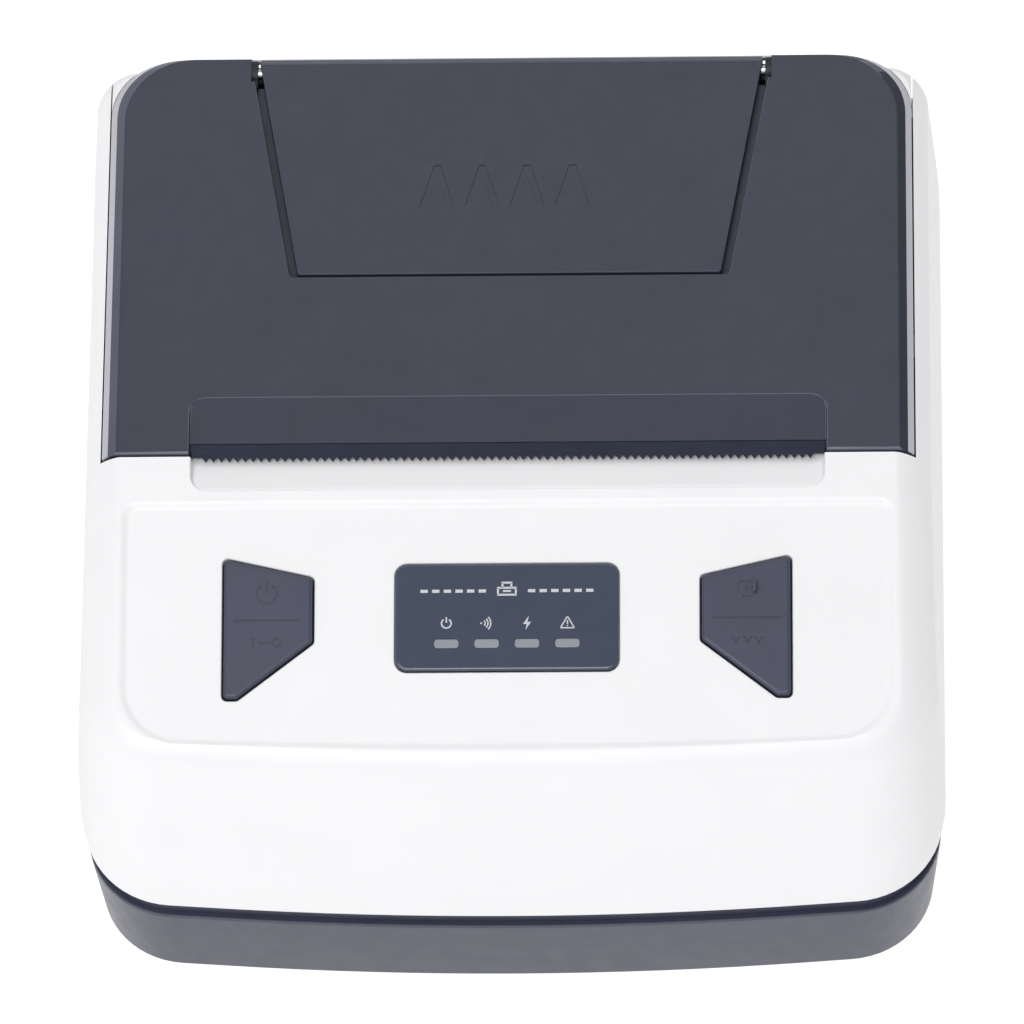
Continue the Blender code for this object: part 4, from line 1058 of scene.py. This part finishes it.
sheet_steel = metal("sheet_steel", (0.55, 0.56, 0.58), 0.38, (14.0, 1.0, 1.0), 260.0)
shaft_steel = metal("ground_steel", (0.66, 0.66, 0.68), 0.22, (22.0, 1.0, 1.0), 220.0)
alu = metal("ribbed_aluminium", (0.72, 0.73, 0.75), 0.36, (1.0, 14.0, 14.0), 260.0)
rubber = soft_rubber("roller_rubber", (0.028, 0.028, 0.03), 0.62)
foot_rubber = soft_rubber("foot_rubber", (0.03, 0.03, 0.032), 0.8)
ceramic = moulded("glazed_ceramic", (0.68, 0.65, 0.57), 0.24, vary=0.04, grain=0.002)
battery_look = moulded("battery_wrap", (0.03, 0.07, 0.2), 0.3, vary=0.06, grain=0.003)
# painted reflection: the pale band on the cover's steep edge facet stands for the bright surroundings
# mirrored in the dark plastic
reflection_band_look = moulded("edge_moulding", (0.46, 0.45, 0.5), 0.3, vary=0.02, grain=0.004)


def wear(obj, look):
    obj.data.materials.clear()
    obj.data.materials.append(look)


for obj, look in ((case, white), (base, base_look), (door, base_look), (cover, dark), (bar, bar_look),
                  (flap, dark), (band, reflection_band_look), (tray, pocket_shade_look), (pane, pane_look),
                  (print_marks, ink_look)):
    wear(obj, look)
FAMILY_LOOKS = {"key_": dark_keys, "white_corner": white, "status_lens": lens_look}
for obj in looks.objects:
    for family, look in FAMILY_LOOKS.items():
        if obj.name.startswith(family):
            wear(obj, look)


def on_side_facet(spot):
    """On the narrow facets along the cover's sides and round its rear corners."""
    return CHAMFER_LOW < spot.z < TOP_Z - 0.05 and abs(spot.x) > 30.0 and spot.y > TEAR_Y + 0.8


# painted shade on the facets of the right side and painted highlight on those of the left, as the light falls
# from the left
edge_faces(cover, facet_shade_look, 0.6, 0.97, lambda spot: on_side_facet(spot) and spot.x > 0.0)
edge_faces(cover, edge_highlight_look, 0.6, 0.97, lambda spot: on_side_facet(spot) and spot.x < 0.0)
# painted highlight on the flap's rounded top edges and on the cover's edges along the slot and round the
# flap's opening
edge_faces(flap, edge_highlight_look, where=lambda spot: spot.z > TOP_Z - 0.6 and spot.y < FLAP_REAR_Y - 0.9)
edge_faces(cover, edge_highlight_look, where=lambda spot: abs(spot.x) < 49.0 and spot.z > TOP_Z - 0.9
           and (spot.y < SLOT_REAR_Y + 0.5 or FLAP_FRONT_Y - 1.0 < spot.y < FLAP_REAR_Y - 1.4))

CARRIED = {
    steel: ["base_screw_1", "base_screw_2", "base_screw_3", "base_screw_4", "door_screw", "liner_screw_1",
            "liner_screw_2", "head_spring_left", "head_spring_right", "charging_port", "latch_catch_left",
            "latch_catch_right", "stepper_motor"],
    sheet_steel: ["gear_plate", "head_frame", "platen_bracket_left", "platen_bracket_right", "radio_module"],
    shaft_steel: ["platen_shaft", "hinge_pin_left", "hinge_pin_right", "flap_pin_left", "flap_pin_right"],
    alu: ["heat_sink"],
    ceramic: ["print_head"],
    rubber: ["platen_roller"],
    foot_rubber: ["rubber_foot_1", "rubber_foot_2", "rubber_foot_3", "rubber_foot_4"],
    gear_look: ["idler_gear", "motor_pinion", "platen_gear", "platen_bush_left", "platen_bush_right",
                "latch_slider"],
    black_look: ["tact_switch_left", "tact_switch_right", "paper_sensor"],
    board_look: ["main_board", "control_board"],
    bay_look: ["roll_bay"],
    grey_look: ["cover_liner"],
    battery_look: ["battery_pack"],
    lens_look: ["light_guide"],
}
for look, names in CARRIED.items():
    for name in names:
        node = frame["nodes"][name]
        if not node.material_slots:
            node.data.materials.append(look)
        for place in node.material_slots:
            place.link = "OBJECT"
            place.material = look

# ---------------------------------------------------------------- floor, light and camera
floor_mesh = bmesh.new()
bmesh.ops.create_grid(floor_mesh, x_segments=1, y_segments=1, size=6.0)
floor = finish_mesh("studio_floor", floor_mesh, looks)
floor_look, _, floor_shader = new_material("pale_floor")
floor_shader.inputs["Base Color"].default_value = (0.25, 0.25, 0.25, 1.0)
floor_shader.inputs["Roughness"].default_value = 0.8
floor_shader.inputs["Specular IOR Level"].default_value = 0.1
floor_shader.inputs["Emission Color"].default_value = (1.0, 1.0, 1.0, 1.0)
floor_shader.inputs["Emission Strength"].default_value = 0.95
floor.data.materials.append(floor_look)

world = bpy.data.worlds.new("studio")
bpy.context.scene.world = world
world.use_nodes = True
world.node_tree.nodes["Background"].inputs["Color"].default_value = (1.0, 1.0, 1.0, 1.0)
world.node_tree.nodes["Background"].inputs["Strength"].default_value = 0.5


def softbox(name, spot, size_x, size_y, watts, aim=(0.0, 0.0, 0.03)):
    light = bpy.data.lights.new(name, "AREA")
    light.shape = "RECTANGLE"
    light.size = size_x
    light.size_y = size_y
    light.energy = watts
    made = bpy.data.objects.new(name, light)
    made.location = spot
    made.rotation_euler = (Vector(aim) - Vector(spot)).to_track_quat("-Z", "Y").to_euler()
    bpy.context.scene.collection.objects.link(made)


softbox("key_softbox", (-0.2, -0.5, 1.0), 0.8, 0.8, 7.6)
softbox("rear_softbox", (0.0, 0.9, 1.3), 1.0, 0.5, 2.2)
softbox("left_softbox", (-1.0, 0.1, 0.3), 0.4, 0.3, 0.12)

AZIMUTH, ELEVATION, ROLL = math.radians(3.98), math.radians(62.09), math.radians(-3.92)
DISTANCE, LENS, SENSOR = 1.4795, 398.390625, 36.0
TARGET = Vector((0.086, -5.237, 40.0)) * MM
away = Vector((math.sin(AZIMUTH) * math.cos(ELEVATION), -math.cos(AZIMUTH) * math.cos(ELEVATION),
               math.sin(ELEVATION)))
right = (-away).cross(Vector((0, 0, 1))).normalized()
up = right.cross(-away)
rolled_right = right * math.cos(ROLL) + up * math.sin(ROLL)
rolled_up = up * math.cos(ROLL) - right * math.sin(ROLL)
camera_data = bpy.data.cameras.new("camera")
camera_data.sensor_width = SENSOR
camera_data.lens = LENS
camera_data.clip_start = 0.05
camera_data.clip_end = 50.0
camera = bpy.data.objects.new("camera", camera_data)
bpy.context.scene.collection.objects.link(camera)
turn = Matrix((rolled_right, rolled_up, away)).transposed().to_4x4()
camera.matrix_world = Matrix.Translation(TARGET + away * DISTANCE) @ turn
bpy.context.scene.camera = camera
bpy.context.scene.view_settings.view_transform = "Standard"
